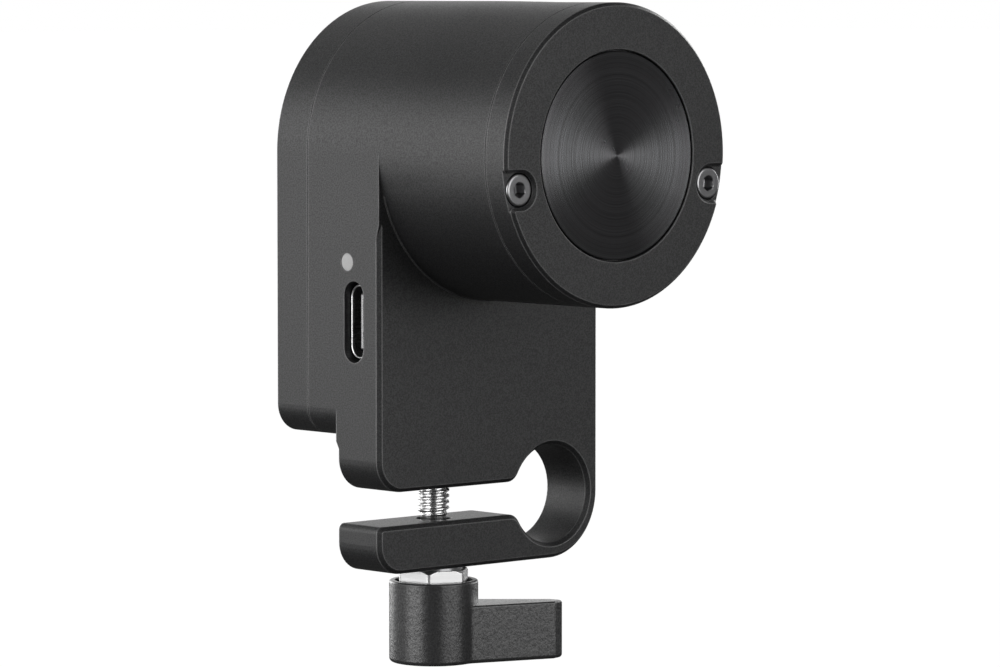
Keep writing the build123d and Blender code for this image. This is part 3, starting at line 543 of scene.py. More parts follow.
def closed_surface(name: str, rows: np.ndarray, crease_deg: float = 30.0,
                   joined: bool = False) -> bpy.types.Object:
    """Make a piece from one or more closed grids of points.

    Each grid's column j is joined to column j + 1 and the last to the first. Its rings are joined
    in the same way, or its first and last rings are closed by a fan to their middle.

    Args:
        name: Piece's name.
        rows: Points, shaped rings by columns by three, with the number of grids in front
            where there are several.
        crease_deg: Angle past which an edge stays sharp.
        joined: Whether the last ring meets the first, as round a ring's section.

    Returns:
        The new object, at the origin, with its place in its mesh.
    """
    grids = rows if rows.ndim == 4 else rows[None]
    count, rings, columns, _ = grids.shape
    points = grids.reshape(count, -1, 3)
    quads = wall_faces(rings, columns, joined)
    triangles = np.empty((0, 3), int)
    if not joined:
        points = np.concatenate([points, grids[:, :1].mean(2), grids[:, -1:].mean(2)], 1)
        triangles = end_faces(rings, columns)
    if signed_volume(points[0], quads, triangles) < 0:
        quads, triangles = quads[:, ::-1], triangles[:, ::-1]
    shift = np.arange(count)[:, None, None] * points.shape[1]
    faces = (quads + shift).reshape(-1, 4).tolist()
    faces += (triangles + shift).reshape(-1, 3).tolist()
    mesh = bpy.data.meshes.new(name)
    mesh.from_pydata(points.reshape(-1, 3), [], faces)
    mesh.shade_smooth()
    mesh.set_sharp_from_angle(angle=math.radians(crease_deg))
    return add_object(name, mesh)


def polar_hexagon(theta: np.ndarray) -> np.ndarray:
    """Distance of a hexagon's side from its centre, over its apothem, with a corner at angle 0.

    It is one over the cosine of the angle from the middle of the nearest side.

    Args:
        theta: Angles in radians.

    Returns:
        The distances.
    """
    return 1.0 / np.cos(np.mod(theta, math.pi / 3) - math.pi / 6)


def full_turn(columns: int) -> np.ndarray:
    """Evenly spaced angles of one turn, as a row."""
    return np.linspace(0.0, 2 * math.pi, columns, endpoint=False)[None, :]


def smooth_step(t: np.ndarray) -> np.ndarray:
    """Smooth rise from 0 to 1: three times the square less twice the cube."""
    return t * t * (3 - 2 * t)


def grid(x: np.ndarray | float, y: np.ndarray | float, z: np.ndarray | float) -> np.ndarray:
    """Points from their coordinates, each spread over the whole grid where it is short of it."""
    return np.stack(np.broadcast_arrays(x, y, z), -1)


@dataclass
class Piece:
    """What the sub-assemblies share: the finishes and the way that a new piece is entered."""

    finishes: dict[str, bpy.types.Material]

    def enter(self, piece: bpy.types.Object, body: str, slot: str, *nodes: str) -> None:
        """Dress a new piece, let it ride on its body and stand for CAD nodes.

        Args:
            piece: The new object.
            body: Body that carries it.
            slot: Material slot of the record.
            nodes: CAD nodes that it replaces.
        """
        piece.data.materials.append(self.finishes[slot])
        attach(piece, body)
        if nodes:
            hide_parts(*nodes)
        log.info("piece %s: %d vertices, on %s", piece.name, len(piece.data.vertices), body)


@dataclass
class Remade(Piece):
    """A piece made anew in the box of one solid, which it stands for."""

    node: ClassVar[str]
    body: ClassVar[str]
    slot: ClassVar[str]

    def build(self, low: Vector, high: Vector) -> bpy.types.Object:
        """Make the piece in its box; each kind has its own way."""
        raise NotImplementedError

    def fit(self) -> None:
        """Make the piece and enter it."""
        self.enter(self.build(*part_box(self.node)), self.body, self.slot, self.node)


@dataclass
class SocketScrews(Piece):
    """Socket-head screws along Y, with a rolled head edge and a chamfered hexagon socket."""

    head_r: float = 1.9 * MM
    head_h: float = 2.0 * MM
    shank_r: float = 0.98 * MM
    key: float = 1.6 * MM
    mouth: float = 1.18
    key_depth: float = 1.4 * MM
    floor_share: float = 0.85
    floor_dip: float = 0.05
    roll_r: float = 0.3 * MM
    rim: float = 0.04 * MM
    tip_share: float = 0.7
    roll_steps: int = 9
    cone_steps: int = 5
    columns: int = 96

    def build(self, name: str, x: float, z: float, seat: float, tip: float, facing: Facing,
              key_deg: float) -> bpy.types.Object:
        """Make one screw as rings along its axis, from the shank's end to the socket's floor.

        The head's edge is a quarter circle. In the socket, the reach of a ring is the larger of
        the chamfer cone's radius at that depth and the hexagon's polar form. The floor dips a
        little towards its middle.

        Args:
            name: Piece's name.
            x: Place of the axis in X.
            z: Place of the axis in Z.
            seat: Place of the head's seat in Y.
            tip: Place of the screw's end in Y.
            facing: Which way the head faces.
            key_deg: Turn of the socket, one corner from +X.

        Returns:
            The screw.
        """
        length = abs(tip - seat)
        turn = np.linspace(0.0, math.pi / 2, self.roll_steps)
        apothem = self.key / 2
        mouth_r = self.mouth * apothem
        cut = (1 - self.tip_share) * self.shank_r
        shank = [[self.shank_r - cut, -length], [self.shank_r, cut - length],
                 [self.shank_r, 0.0], [self.head_r - self.rim, 0.0], [self.head_r, self.rim]]
        roll = np.stack([self.head_r - self.roll_r * (1 - np.cos(turn)),
                         self.head_h - self.roll_r * (1 - np.sin(turn))], -1)
        face = [[self.head_r - self.roll_r - self.rim, self.head_h],
                [mouth_r + self.rim, self.head_h]]
        outside = np.concatenate([shank, roll, face])
        cone = mouth_r - apothem
        depth = np.append(np.linspace(0.0, cone, self.cone_steps),
                          [self.key_depth / 2, self.key_depth])
        hexagon = apothem * polar_hexagon(full_turn(self.columns))
        inside = np.maximum(hexagon, (mouth_r - depth)[:, None])
        floor = self.floor_share * inside[-1:]
        reach = np.concatenate([np.repeat(outside[:, :1], self.columns, 1), inside, floor])
        bottom = self.head_h - self.key_depth - self.floor_dip * self.key
        height = np.concatenate([outside[:, 1], self.head_h - depth, [bottom]])[:, None]
        angle = full_turn(self.columns) + math.radians(key_deg)
        return closed_surface(name, grid(x + reach * np.cos(angle), seat + facing.value * height,
                                         z + reach * np.sin(angle)))


@dataclass
class ThreadedStud(Remade):
    """Clamp stud: rolled thread above the jaw, plain waist below it."""

    node, body, slot = "clamp_stud", "clamp_screw", "stud_steel"
    pitch: float = 0.7 * MM
    depth: float = 0.34 * MM
    flatten: float = 1.4
    tip_cut: float = 0.6
    play: float = 0.10 * MM
    waist_r: float = 1.62 * MM
    waist_top: float = -1.75 * MM
    waist_steps: int = 4
    steps: int = 20
    columns: int = 96

    def build(self, low: Vector, high: Vector) -> bpy.types.Object:
        """Make the stud as a grid of angle and height.

        The phase is the height over the pitch less the share of a turn, and the wave is a cosine of
        it with flattened ends, which rounds crest and root. The radius is the crest less the depth
        times the wave. It grows out of the waist over one pitch and ends in a chamfer at the tip.

        Args:
            low: Lowest corner of the stud's box.
            high: Highest corner of the stud's box.

        Returns:
            The stud.
        """
        crest = (high.x - low.x) / 2 - self.play
        count = int((high.z - self.waist_top) / self.pitch * self.steps)
        waist = np.linspace(low.z, self.waist_top, self.waist_steps, endpoint=False)
        height = np.concatenate([waist, np.linspace(self.waist_top, high.z, count)])[:, None]
        theta = full_turn(self.columns)
        phase = 2 * math.pi * (height / self.pitch - theta / (2 * math.pi))
        wave = 0.5 - 0.5 * np.clip(self.flatten * np.cos(phase), -1.0, 1.0)
        grown = np.clip((height - self.waist_top) / self.pitch, 0.0, 1.0)
        taper = np.clip(1.0 - (high.z - height) / (self.tip_cut * self.pitch), 0.0, 1.0)
        thread = crest - self.depth * np.maximum(wave, taper)
        radius = self.waist_r + grown * (thread - self.waist_r)
        x = (low.x + high.x) / 2 + radius * np.cos(theta)
        y = (low.y + high.y) / 2 + radius * np.sin(theta)
        return closed_surface("threaded_stud", grid(x, y, height), crease_deg=60.0)


@dataclass
class HexHub(Remade):
    """Bright hexagonal hub under the jaw, its corners turned round and its ends chamfered."""

    node, body, slot = "clamp_hub", "clamp_screw", "hub_nickel"
    across_flats: float = 7.8 * MM
    corner_deg: float = 40.3
    corner_cut: float = 0.10 * MM
    end_cut: float = 0.45 * MM
    bore_r: float = 1.7 * MM
    cut_steps: int = 10
    columns: int = 360

    def build(self, low: Vector, high: Vector) -> bpy.types.Object:
        """Make the hub as a ring whose section runs up its outside and down its bore.

        At each height the outside is the smaller of the hexagon's polar form and a circle. The
        circle is the corner's radius less a small cut, and near each end less a cone at 45 degrees.

        Args:
            low: Lowest corner of the hub's box.
            high: Highest corner of the hub's box.

        Returns:
            The hub.
        """
        apothem = self.across_flats / 2
        corner_r = apothem / math.cos(math.pi / 6)
        cut = np.linspace(self.end_cut, 0.0, self.cut_steps)
        height = np.concatenate([low.z + self.end_cut - cut, high.z - self.end_cut + cut[::-1]])
        from_end = np.minimum(height - low.z, high.z - height)
        circle = np.minimum(corner_r - self.corner_cut, corner_r - self.end_cut + from_end)
        theta = full_turn(self.columns)
        outside = np.minimum(apothem * polar_hexagon(theta), circle[:, None])
        inside = np.full((2, self.columns), self.bore_r)
        reach = np.concatenate([outside, inside])
        level = np.concatenate([height, [high.z, low.z]])[:, None]
        angle = theta + math.radians(self.corner_deg)
        x = (low.x + high.x) / 2 + reach * np.cos(angle)
        y = (low.y + high.y) / 2 + reach * np.sin(angle)
        return closed_surface("hex_hub", grid(x, y, level), crease_deg=12.0, joined=True)


@dataclass
class BarrelSkin(Piece):
    """What the thin pieces round the barrel share: the barrel's measures and the front face."""

    face_y: float = -3.85 * MM

    def measure(self) -> tuple[Vector, float, float]:
        """Read the barrel's measures off the solids.

        Returns:
            A point on the barrel's axis, the barrel's radius and that of the motor box's arch.
        """
        disc_low, disc_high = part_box("face_disc")
        cap_low, cap_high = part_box("front_cap")
        box_low, box_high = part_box("rear_cover")
        barrel_r, arch_r = (cap_high.x - cap_low.x) / 2, (box_high.x - box_low.x) / 2
        return (disc_low + disc_high) / 2, barrel_r, arch_r

    def enter_skin(self, name: str, axis: Vector, reach: np.ndarray, along: np.ndarray,
                   degrees: np.ndarray) -> None:
        """Carry a section round the barrel and enter it on the housing.

        Args:
            name: Piece's name.
            axis: Point on the barrel's axis.
            reach: Distance of each point from the axis, one row for each angle.
            along: Place of the section's points in Y.
            degrees: Angles, from +X towards +Z.
        """
        angle = np.radians(degrees)[:, None]
        rows = grid(axis.x + reach * np.cos(angle), along, axis.z + reach * np.sin(angle))
        self.enter(closed_surface(name, rows, crease_deg=40.0), "root", "anodised_black")


@dataclass
class RootFillet(BarrelSkin):
    """Small concave fillet where the barrel stands out of the front face."""

    radius: float = 0.15 * MM
    buried: float = 0.05 * MM
    from_deg: float = 196.0
    to_deg: float = 344.0
    stations: int = 200
    points: int = 9

    def fit(self) -> None:
        """Carry the fillet's section along the barrel's lower arc.

        The section is a hollow quarter circle between the barrel and the face, closed by a corner
        that is buried in both. The arc runs from one angle to the other in even steps.
        """
        axis, barrel_r, _ = self.measure()
        turn = np.linspace(0.0, math.pi / 2, self.points)
        out = np.append(self.radius * (1 - np.sin(turn)), [-self.buried, -self.buried, self.radius])
        front = np.append(self.radius * (1 - np.cos(turn)),
                          [self.radius, -self.buried, -self.buried])
        degrees = np.linspace(self.from_deg, self.to_deg, self.stations)
        self.enter_skin("barrel_root", axis, barrel_r + out[None, :], self.face_y - front, degrees)


@dataclass
class BarrelBlend(BarrelSkin):
    """Thin skin that carries the barrel into the motor box's slightly larger arch, with no step."""

    ramp: float = 16.0 * MM
    overlap: float = 3.0 * MM
    level_share: float = 0.1
    dip: float = 0.02 * MM
    start_dip: float = 0.03 * MM
    inside: float = 0.3 * MM
    below_deg: float = 16.0
    stations: int = 240
    points: int = 24

    def fit(self) -> None:
        """Carry the skin's section round the upper arc, from flank to flank.

        Forwards from the box's face the radius falls from the arch's to the barrel's as a smooth
        step, and ends a little inside the barrel. Behind the face it stays level for a tenth of
        the overlap and then dips into the arch. Below the axis the step fades to nothing with a
        smooth step of the angle, and the ends dip into the barrel.
        """
        axis, barrel_r, arch_r = self.measure()
        t = np.linspace(0.0, 1.0, self.points)
        behind = [self.level_share * self.overlap, self.overlap]
        y = self.face_y + np.append(-self.ramp * (1 - t), behind)
        rise = np.append(smooth_step(t), [1.0, 1.0])
        sunk = np.append(self.start_dip * (1 - t) ** 2, [0.0, self.dip])
        degrees = np.linspace(-self.below_deg, 180.0 + self.below_deg, self.stations)
        under = np.clip(np.maximum(-degrees, degrees - 180.0) / self.below_deg, 0.0, 1.0)
        fade = 1 - smooth_step(under)[:, None]
        outside = barrel_r + (arch_r - barrel_r) * rise * fade - sunk - self.dip * (1 - fade)
        inside = np.full((self.stations, 2), barrel_r - self.inside)
        reach = np.concatenate([outside, inside], 1)
        self.enter_skin("barrel_blend", axis, reach, np.append(y, [y[-1], y[0]]), degrees)


@dataclass
class LampLens(Remade):
    """Milky lens of the status lamp: a pin through the flank with a slightly domed end."""

    node, body, slot = "light_pipe", "root", "lamp_diffuser"
    edge_r: float = 0.06 * MM
    dome: float = 0.05 * MM
    first_ring: float = 0.15
    flange: float = 0.5 * MM
    flange_r: float = 1.6 * MM
    pin_r: float = 1.05 * MM
    centre_y: float = 1.83 * MM
    dome_steps: int = 7
    edge_steps: int = 7
    columns: int = 64

    def build(self, low: Vector, high: Vector) -> bpy.types.Object:
        """Make the lens as rings along X, from its domed end to its flange.

        The dome sinks with the square of the distance from its middle, and runs over a quarter
        circle into the pin. The flange's reach is the smaller of its radius and the distance to
        the plane that it is cut along.

        Args:
            low: Lowest corner of the lamp's box.
            high: Highest corner of the lamp's box.

        Returns:
            The lens.
        """
        turn = np.linspace(0.0, math.pi / 2, self.edge_steps)
        theta = full_turn(self.columns)
        top = np.linspace(self.first_ring, 1.0, self.dome_steps)
        flat_r = self.pin_r - self.edge_r
        edge_out, edge_down = np.sin(turn[1:]), 1 - np.cos(turn[1:])
        radius = np.concatenate([top * flat_r, flat_r + self.edge_r * edge_out, [self.pin_r]])
        depth = np.concatenate([self.dome * top ** 2, self.dome + self.edge_r * edge_down,
                                [high.x - low.x - self.flange]])
        facing_cut = np.cos(theta) > 0
        cut_r = np.divide(high.y - self.centre_y, np.cos(theta), where=facing_cut,
                          out=np.full_like(theta, self.flange_r))
        flange = np.minimum(self.flange_r, cut_r)
        reach = np.concatenate([np.repeat(radius[:, None], self.columns, 1), flange, flange])
        along = np.append(low.x + depth, [high.x - self.flange, high.x])[:, None]
        rows = grid(along, self.centre_y + reach * np.cos(theta),
                    (low.z + high.z) / 2 + reach * np.sin(theta))
        return closed_surface("lamp_lens", rows)


@dataclass
class ContactPads(Piece):
    """Bright contact strips on both sides of the socket's tongue, and the plate in its tip."""

    count: int = 12
    spacing: float = 0.5 * MM
    width: float = 0.26 * MM
    proud: float = 0.03 * MM
    length: float = 3.2 * MM
    from_tip: float = 0.45 * MM
    tongue_t: float = 0.7 * MM
    plate_t: float = 0.30 * MM
    plate_w: float = 6.35 * MM
    plate_out: float = 0.25 * MM

    def build(self, low: Vector, high: Vector) -> bpy.types.Object:
        """Make all strips and the plate in the tongue's tip as boxes of two rings of four corners.

        The strips are one box shifted by row and side. The plate's edge stands out of the tip.

        Args:
            low: Lowest corner of the tongue's box.
            high: Highest corner of the tongue's box.

        Returns:
            The strips and the plate, as one piece.
        """
        row = np.arange(self.count) - (self.count - 1) / 2
        row, side = np.meshgrid(row, np.array([-1.0, 1.0]), indexing="ij")
        middle = (low + high) / 2
        z = middle.z + row.reshape(-1, 1, 1) * self.spacing
        y = middle.y + side.reshape(-1, 1, 1) * self.tongue_t / 2
        x = low.x + self.from_tip + np.array([[0.0], [self.length]])
        across = np.array([[-1.0, 1.0, 1.0, -1.0]]) / 2
        thick = np.array([[-1.0, -1.0, 1.0, 1.0]])
        strips = grid(x, y + thick * self.proud, z + across * self.width)
        plate_x = low.x + np.array([[-self.plate_out], [self.from_tip]])
        plate = grid(plate_x, middle.y + thick * self.plate_t / 2, middle.z + across * self.plate_w)
        return closed_surface("contact_pads", np.concatenate([strips, plate[None]]))

    def fit(self) -> None:
        """Enter the strips on the housing."""
        self.enter(self.build(*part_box("usb_tongue")), "root", "socket_steel")


@dataclass
class SocketShell(Piece):
    """Drawn steel shell of the socket: a stadium-shaped cup with a rolled mouth and a fold seam.

    Its mouth reaches further out than the solid's, as far as in the photograph.
    """

    further_out: float = 0.30 * MM
    wall: float = 0.36 * MM
    seam_w: float = 0.09 * MM
    seam_d: float = 0.18 * MM
    end_cut: float = 0.3
    roll_steps: int = 9
    columns: int = 160

    def build(self, low: Vector, high: Vector) -> bpy.types.Object:
        """Make the cup as rings from its closed end, over the rolled mouth, to its floor.

        A ring is a stadium: a quarter turn for each corner, shifted along Z by half the straight
        length, with the sides filled in evenly. Each ring is drawn in by its own inset, and the
        seam is a narrow bell-shaped dent in the middle of the side that faces the front.

        Args:
            low: Lowest corner of the shell's box.
            high: Highest corner of the shell's box.

        Returns:
            The shell.
        """
        half_t = (high.y - low.y) / 2
        straight = (high.z - low.z) / 2 - half_t
        middle = (low + high) / 2
        around = 4 * straight + 2 * math.pi * half_t
        s = (np.arange(self.columns) + 0.5) / self.columns * around
        arc = math.pi * half_t
        upper = s < arc + 2 * straight
        t = np.where(upper, s, s - arc - 2 * straight)
        on_arc = t < arc
        angle = np.where(on_arc, t / half_t, math.pi)
        slid = np.where(on_arc, 0.0, t - arc)
        side = np.where(upper, 1.0, -1.0)
        roll = np.linspace(-math.pi / 2, math.pi / 2, self.roll_steps)
        lip_x = low.x + self.wall / 2 * (1 - np.cos(roll))
        lip_in = self.wall / 2 * (1 + np.sin(roll))
        inner_end, rim = high.x - self.wall, low.x + self.wall
        ring_x = np.concatenate([[high.x, inner_end, rim], lip_x, [rim, inner_end]])[:, None]
        inset = np.concatenate([[self.end_cut * self.wall, 0.0, 0.0], lip_in,
                                [self.wall, self.wall]])[:, None]
        radius = half_t - inset
        y = side * radius * np.cos(angle)
        z = side * (straight + radius * np.sin(angle) - slid)
        z = np.where(on_arc, z, side * (straight - slid))
        on_outside = (y < 0) & (inset < self.wall)
        seam = np.exp(-(z / self.seam_w) ** 2) * on_outside * self.seam_d
        rows = grid(ring_x, middle.y + y + seam, middle.z + z)
        return closed_surface("socket_shell", rows, crease_deg=50.0)

    def fit(self) -> None:
        """Enter the shell in the flank."""
        low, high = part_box("usb_shell")
        low.x -= self.further_out
        self.enter(self.build(low, high), "root", "socket_steel", "usb_shell")


@dataclass
class LeverSpring(Piece):
    """Compression spring between lever and screw head."""

    wire_r: float = 0.18 * MM
    turns: float = 3.0
    lift: float = 2.0 * MM
    stations: int = 240
    columns: int = 14

    def build(self, low: Vector, high: Vector) -> bpy.types.Object:
        """Carry a circle along a helix that climbs evenly with its angle, square to its path.

        Args:
            low: Lowest corner of the spring's box.
            high: Highest corner of the spring's box.

        Returns:
            The spring.
        """
        coil_r = (high.x - low.x) / 2 - self.wire_r
        t = np.linspace(0.0, 1.0, self.stations)[:, None]
        theta = 2 * math.pi * self.turns * t
        rise = high.z - low.z - 2 * self.wire_r
        slope = math.atan(rise / (2 * math.pi * self.turns * coil_r))
        around = full_turn(self.columns)
        reach, side = coil_r + self.wire_r * np.cos(around), self.wire_r * np.sin(around)
        back = side * math.sin(slope)
        x = (low.x + high.x) / 2 + reach * np.cos(theta) + back * np.sin(theta)
        y = (low.y + high.y) / 2 + reach * np.sin(theta) - back * np.cos(theta)
        z = low.z + self.wire_r + rise * t + side * math.cos(slope)
        return closed_surface("spring_coil", grid(x, y, z), crease_deg=60.0)

    def fit(self) -> None:
        """Enter the spring on the screw, with a mesh of its own."""
        low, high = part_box("lever_spring")
        coil = self.build(low, high)
        self.enter(coil, "clamp_screw", "stud_steel", "lever_spring")
        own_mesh(coil)


@dataclass(frozen=True)
class Softbox:
    """One soft lamp: where it stands, seen from the object, how large and how strong it is."""

    name: str
    azimuth: float
    elevation: float
    distance: float
    width: float
    height: float
    radiance: float

    def build(self, aim: Vector) -> None:
        """Place the lamp and turn it to the object.

        Args:
            aim: Point that it faces. Azimuth 0 is in front, at -Y, and 90 on the right, at +X.
        """
        a, e = math.radians(self.azimuth), math.radians(self.elevation)
        away = Vector((math.sin(a) * math.cos(e), -math.cos(a) * math.cos(e), math.sin(e)))
        data = bpy.data.lights.new(self.name, "AREA")
        data.shape = "RECTANGLE"
        data.size = self.width
        data.size_y = self.height
        data.energy = self.radiance * math.pi * self.width * self.height
        lamp = add_object(self.name, data)
        lamp.location = aim + self.distance * away
        lamp.rotation_euler = away.to_track_quat("Z", "Y").to_euler()
        lamp.visible_camera = False
        log.info("lamp %s", self.name)


@dataclass
class Studio:
    """Camera, soft lamps, pale floor and surroundings."""

    aim: Vector = field(default_factory=lambda: Vector((-0.010, -0.004, 0.022)))
    camera_place: tuple[float, float, float] = (-0.40117, -0.42652, 0.06064)
    camera_yaw: float = 42.881
    camera_pitch: float = 4.039
    focal_pixels: float = 4819.6
    image_width: float = 1000.0
    sensor: float = 36.0
    clip: tuple[float, float] = (0.01, 100.0)
    floor_drop: float = 0.075
    floor_size: float = 30.0
    floor_colour: float = 0.06
    seen_white: float = 1.09
    seen_share: float = 0.93
    floor_gloss: float = 0.01
    room_gloss: float = 0.0
    room_light: float = 0.09
    softboxes: tuple[Softbox, ...] = (
        Softbox("key softbox", -93.0, 9.0, 0.6, 0.45, 0.45, 6.7),
        Softbox("rear left softbox", -137.0, 6.0, 0.55, 0.52, 0.38, 1.15),
        Softbox("front softbox", 6.0, 1.0, 0.9, 0.8, 0.26, 5.0),
        Softbox("upper front softbox", 6.0, 26.0, 0.9, 0.8, 0.42, 2.6),
        Softbox("right fill", 60.0, 8.0, 0.9, 0.6, 0.7, 0.2),
        Softbox("rear right softbox", 140.0, 8.0, 1.2, 1.2, 0.7, 1.0),
        Softbox("rear softbox", 179.0, 6.0, 0.7, 0.42, 0.36, 5.5),
        Softbox("right softbox", 98.0, 12.0, 0.7, 0.45, 0.45, 4.0),
        Softbox("rear top softbox", 165.0, 45.0, 1.0, 1.0, 0.5, 0.36),
    )

    def build(self) -> None:
        """Set up the whole studio."""
        self.camera()
        self.floor()
        self.surroundings()
        for box in self.softboxes:
            box.build(self.aim)
        bpy.context.scene.view_settings.view_transform = "Standard"

    def camera(self) -> None:
        """Place the camera at the photograph's viewing angle."""
        data = bpy.data.cameras.new("camera")
        data.sensor_width = self.sensor
        data.lens = self.focal_pixels / self.image_width * self.sensor
        data.clip_start, data.clip_end = self.clip
        camera = add_object("camera", data)
        camera.location = self.camera_place
        camera.rotation_euler = (math.radians(90 - self.camera_pitch), 0.0,
                                 math.radians(-self.camera_yaw))
        bpy.context.scene.camera = camera

    @staticmethod
    def _seen(tree: Tree, gloss_share: float) -> Socket:
        """Find how much of the white background a ray sees.

        Args:
            tree: Node tree of the background.
            gloss_share: Share that gloss sees; a low one keeps the black finish deep.

        Returns:
            Socket with 1 for the camera and clear pieces, and the share for gloss.
        """
        path = add_node(tree, "LightPath")
        gloss = calc(tree, "MULTIPLY", path.outputs["Is Glossy Ray"], gloss_share)
        clear = calc(tree, "ADD", path.outputs["Is Camera Ray"],
                     path.outputs["Is Transmission Ray"])
        return calc(tree, "ADD", clear, gloss, clamp=True)

    def floor(self) -> None:
        """Lay a flat floor below the object.

        It is grey for the light, white with the object's shadow for the camera, and clear from
        below.
        """
        half = self.floor_size / 2
        down = CAD_BOX[0][2] - self.floor_drop
        corners = [(-half, -half, down), (half, -half, down), (half, half, down),
                   (-half, half, down)]
        mesh = bpy.data.meshes.new("floor")
        mesh.from_pydata(corners, [], [(0, 1, 2, 3)])
        floor = add_object("floor", mesh)
        material = bpy.data.materials.new("floor")
        material.use_nodes = True
        tree = material.node_tree
        tree.nodes.clear()
        share = calc(tree, "MULTIPLY", self._seen(tree, self.floor_gloss), self.seen_share)
        grey = add_node(tree, "BsdfDiffuse", {"Color": (self.floor_colour,) * 3 + (1.0,)})
        white = add_node(tree, "Emission", {"Color": WHITE, "Strength": self.seen_white})
        mixed = add_node(tree, "MixShader", {0: share, 1: grey.outputs[0], 2: white.outputs[0]})
        below = add_node(tree, "NewGeometry").outputs["Backfacing"]
        clear = add_node(tree, "BsdfTransparent")
        either = add_node(tree, "MixShader", {0: below, 1: mixed.outputs[0], 2: clear.outputs[0]})
        add_node(tree, "OutputMaterial", {"Surface": either.outputs[0]})
        floor.data.materials.append(material)

    def surroundings(self) -> None:
        """Fill the room with a dim even light, and show it white to the camera."""
        world = bpy.data.worlds.new("surroundings")
        bpy.context.scene.world = world
        world.use_nodes = True
        tree = world.node_tree
        tree.nodes.clear()
        seen = self._seen(tree, self.room_gloss)
        strength = add_node(tree, "Mix", {MIX_FACTOR: seen, FLOAT_A: self.room_light,
                                          FLOAT_B: 1.0}, data_type="FLOAT")
        room = add_node(tree, "Background", {"Color": WHITE, "Strength": strength.outputs[0]})
        add_node(tree, "OutputWorld", {"Surface": room.outputs[0]})


def make_finishes(effects: SharedEffects) -> dict[str, bpy.types.Material]:
    """Build every finish under the name of its material slot.

    Args:
        effects: The shared node groups.

    Returns:
        Materials by slot name.
    """
    low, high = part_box("face_disc")
    motor = tuple((low + high) / 2)
    low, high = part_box("clamp_stud")
    stud = ((low.x + high.x) / 2, (low.y + high.y) / 2, 0.0)
    metal = partial(MachinedFinish, metallic=1.0)
    turned = partial(metal, centre=motor)
    every = [
        # The black anodising gets a painted highlight on its open edges.
        GrainFinish("anodised_black", (0.006, 0.006, 0.0064), 0.43, specular=0.45,
                    edge_radius=0.20 * MM, painted_edge_highlight=3.0, sparkle=0.55, tone_spread=0.45,
                    bump=0.9, bump_height=0.016 * MM, handling=0.04, grain_size=0.17 * MM),
        turned("turned_disc", (0.098, 0.098, 0.101), 0.26, edge_radius=0.06 * MM,
               tone_spread=0.30, bump=0.20, pitch=0.17 * MM, anisotropy=0.90),
        metal("screw_steel", (0.27, 0.27, 0.275), 0.30, lay=Lay.ALONG_Z,
              edge_radius=0.05 * MM, bump=0.03),
        MachinedFinish("black_screw_steel", (0.06, 0.06, 0.065), 0.34, metallic=0.7,
                       lay=Lay.ALONG_Z, edge_radius=0.05 * MM, bump=0.03),
        LampFinish("lamp_diffuser", (0.32, 0.32, 0.32), 0.4, grain_size=0.2 * MM, bump=0.03),
        GrainFinish("led_package", (0.80, 0.76, 0.60), 0.3, grain_size=0.2 * MM, bump=0.02),
        GrainFinish("circuit_board", (0.02, 0.09, 0.05), 0.35, grain_size=0.9 * MM,
                    tone_spread=0.35),
        GrainFinish("chip_black", (0.03, 0.03, 0.03), 0.55, grain_size=0.08 * MM),
        metal("socket_steel", (0.46, 0.46, 0.465), 0.28, lay=Lay.ALONG_Z,
              edge_radius=0.04 * MM, pitch=0.03 * MM, bump=0.03),
        GrainFinish("socket_plastic", (0.02, 0.02, 0.02), 0.45, grain_size=0.06 * MM, bump=0.05),
        turned("motor_steel", (0.50, 0.50, 0.51), 0.33, pitch=0.12 * MM, bump=0.05),
        turned("bearing_steel", (0.72, 0.72, 0.73), 0.16, pitch=0.06 * MM, bump=0.02),
        metal("core_steel", (0.30, 0.30, 0.31), 0.42, lay=Lay.ALONG_Y, pitch=0.35 * MM,
              tone_spread=0.4, bump=0.4),
        metal("copper_wire", (0.65, 0.28, 0.12), 0.32, lay=Lay.ALONG_Y, pitch=0.25 * MM,
              tone_spread=0.3, bump=0.5, bump_height=0.05 * MM),
        GrainFinish("magnet_nickel", (0.64, 0.62, 0.58), 0.25, metallic=1.0,
                    grain_size=0.3 * MM, bump=0.03),
        turned("gear_steel", (0.46, 0.46, 0.47), 0.30, pitch=0.08 * MM, bump=0.05),
        GrainFinish("gear_plastic", (0.04, 0.04, 0.042), 0.40, grain_size=0.2 * MM, bump=0.06),
        metal("spacer_aluminium", (0.60, 0.60, 0.61), 0.30, lay=Lay.ALONG_Y,
              pitch=0.08 * MM, bump=0.08),
        GrainFinish("lever_black", (0.018, 0.018, 0.0185), 0.31, specular=0.35, sparkle=0.55,
                    edge_radius=0.10 * MM, tone_spread=0.30, bump=0.9,
                    bump_height=0.05 * MM, handling=0.03, grain_size=0.25 * MM),
        metal("hub_nickel", (0.48, 0.48, 0.48), 0.40, lay=Lay.ALONG_Z, pitch=0.09 * MM,
              edge_radius=0.06 * MM, bump=0.06),
        metal("stud_steel", (0.55, 0.55, 0.55), 0.28, centre=stud, axis=(0.0, 0.0, 1.0),
              pitch=0.06 * MM, edge_radius=0.03 * MM, bump=0.02),
    ]
    return {finish.name: finish.build(effects) for finish in every}


@dataclass
class Solids(Piece):
    """The solids that keep their shape and only get their finishes."""

    def fit(self) -> None:
        """Give each node the material of its slot."""
        for part in frame["record"]["subparts"]:
            node = frame["nodes"][part["node"]]
            node.data.materials.clear()
            node.data.materials.append(self.finishes[part["material_slot"]])
            log.info("solid %s: %s", part["node"], part["material_slot"])


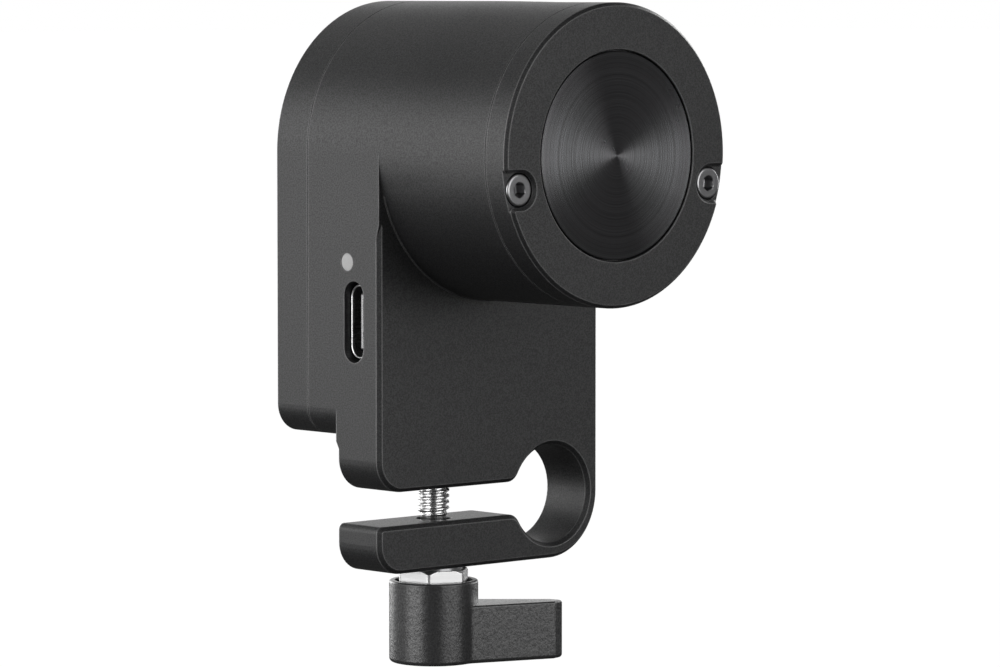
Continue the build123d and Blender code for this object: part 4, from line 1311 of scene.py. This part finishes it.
@dataclass
class CapScrews(SocketScrews):
    """The two screws in the cap's notches."""

    left_key_deg: float = 39.0
    right_key_deg: float = 24.0

    def fit(self) -> None:
        """Make the screws at both ends of their solids' box."""
        low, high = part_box("cap_screws")
        z = (low.z + high.z) / 2
        places = {"cap_screw_left": (low.x + self.head_r, self.left_key_deg),
                  "cap_screw_right": (high.x - self.head_r, self.right_key_deg)}
        for name, (x, key_deg) in places.items():
            screw = self.build(name, x, z, low.y + self.head_h, high.y, Facing.FRONT, key_deg)
            self.enter(screw, "root", "screw_steel", "cap_screws")


@dataclass
class CoverScrews(SocketScrews):
    """The four screws of the rear cover."""

    arch_in: float = 3.1 * MM
    arch_deg: float = 38.0
    low_keys_deg: tuple[float, float] = (12.0, 47.0)
    top_keys_deg: tuple[float, float] = (31.0, 3.0)

    def fit(self) -> None:
        """Make the low screws at their solids' box, the top ones on a circle round the arch."""
        low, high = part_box("cover_screws")
        cover_low, cover_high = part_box("rear_cover")
        arch_r = (cover_high.x - cover_low.x) / 2
        middle, axis_z = (cover_low.x + cover_high.x) / 2, cover_high.z - arch_r
        a = math.radians(self.arch_deg)
        out, up = (arch_r - self.arch_in) * math.cos(a), (arch_r - self.arch_in) * math.sin(a)
        low_z = low.z + self.head_r
        places = {
            "cover_screw_low_left": (low.x + self.head_r, low_z, self.low_keys_deg[0]),
            "cover_screw_low_right": (high.x - self.head_r, low_z, self.low_keys_deg[1]),
            "cover_screw_top_left": (middle - out, axis_z + up, self.top_keys_deg[0]),
            "cover_screw_top_right": (middle + out, axis_z + up, self.top_keys_deg[1]),
        }
        for name, (x, z, key_deg) in places.items():
            screw = self.build(name, x, z, high.y - self.head_h, low.y, Facing.BACK, key_deg)
            self.enter(screw, "root", "black_screw_steel", "cover_screws")


ASSEMBLIES = (Solids, CapScrews, CoverScrews, ThreadedStud, HexHub, SocketShell, ContactPads,
              LampLens, RootFillet, BarrelBlend, LeverSpring)


def main() -> None:
    """Build the studio and the sub-assemblies in order."""
    logging.basicConfig(level=logging.INFO, format="%(message)s")
    Studio().build()
    finishes = make_finishes(SharedEffects())
    for assembly in ASSEMBLIES:
        assembly(finishes).fit()


if __name__ == "__main__":
    main()
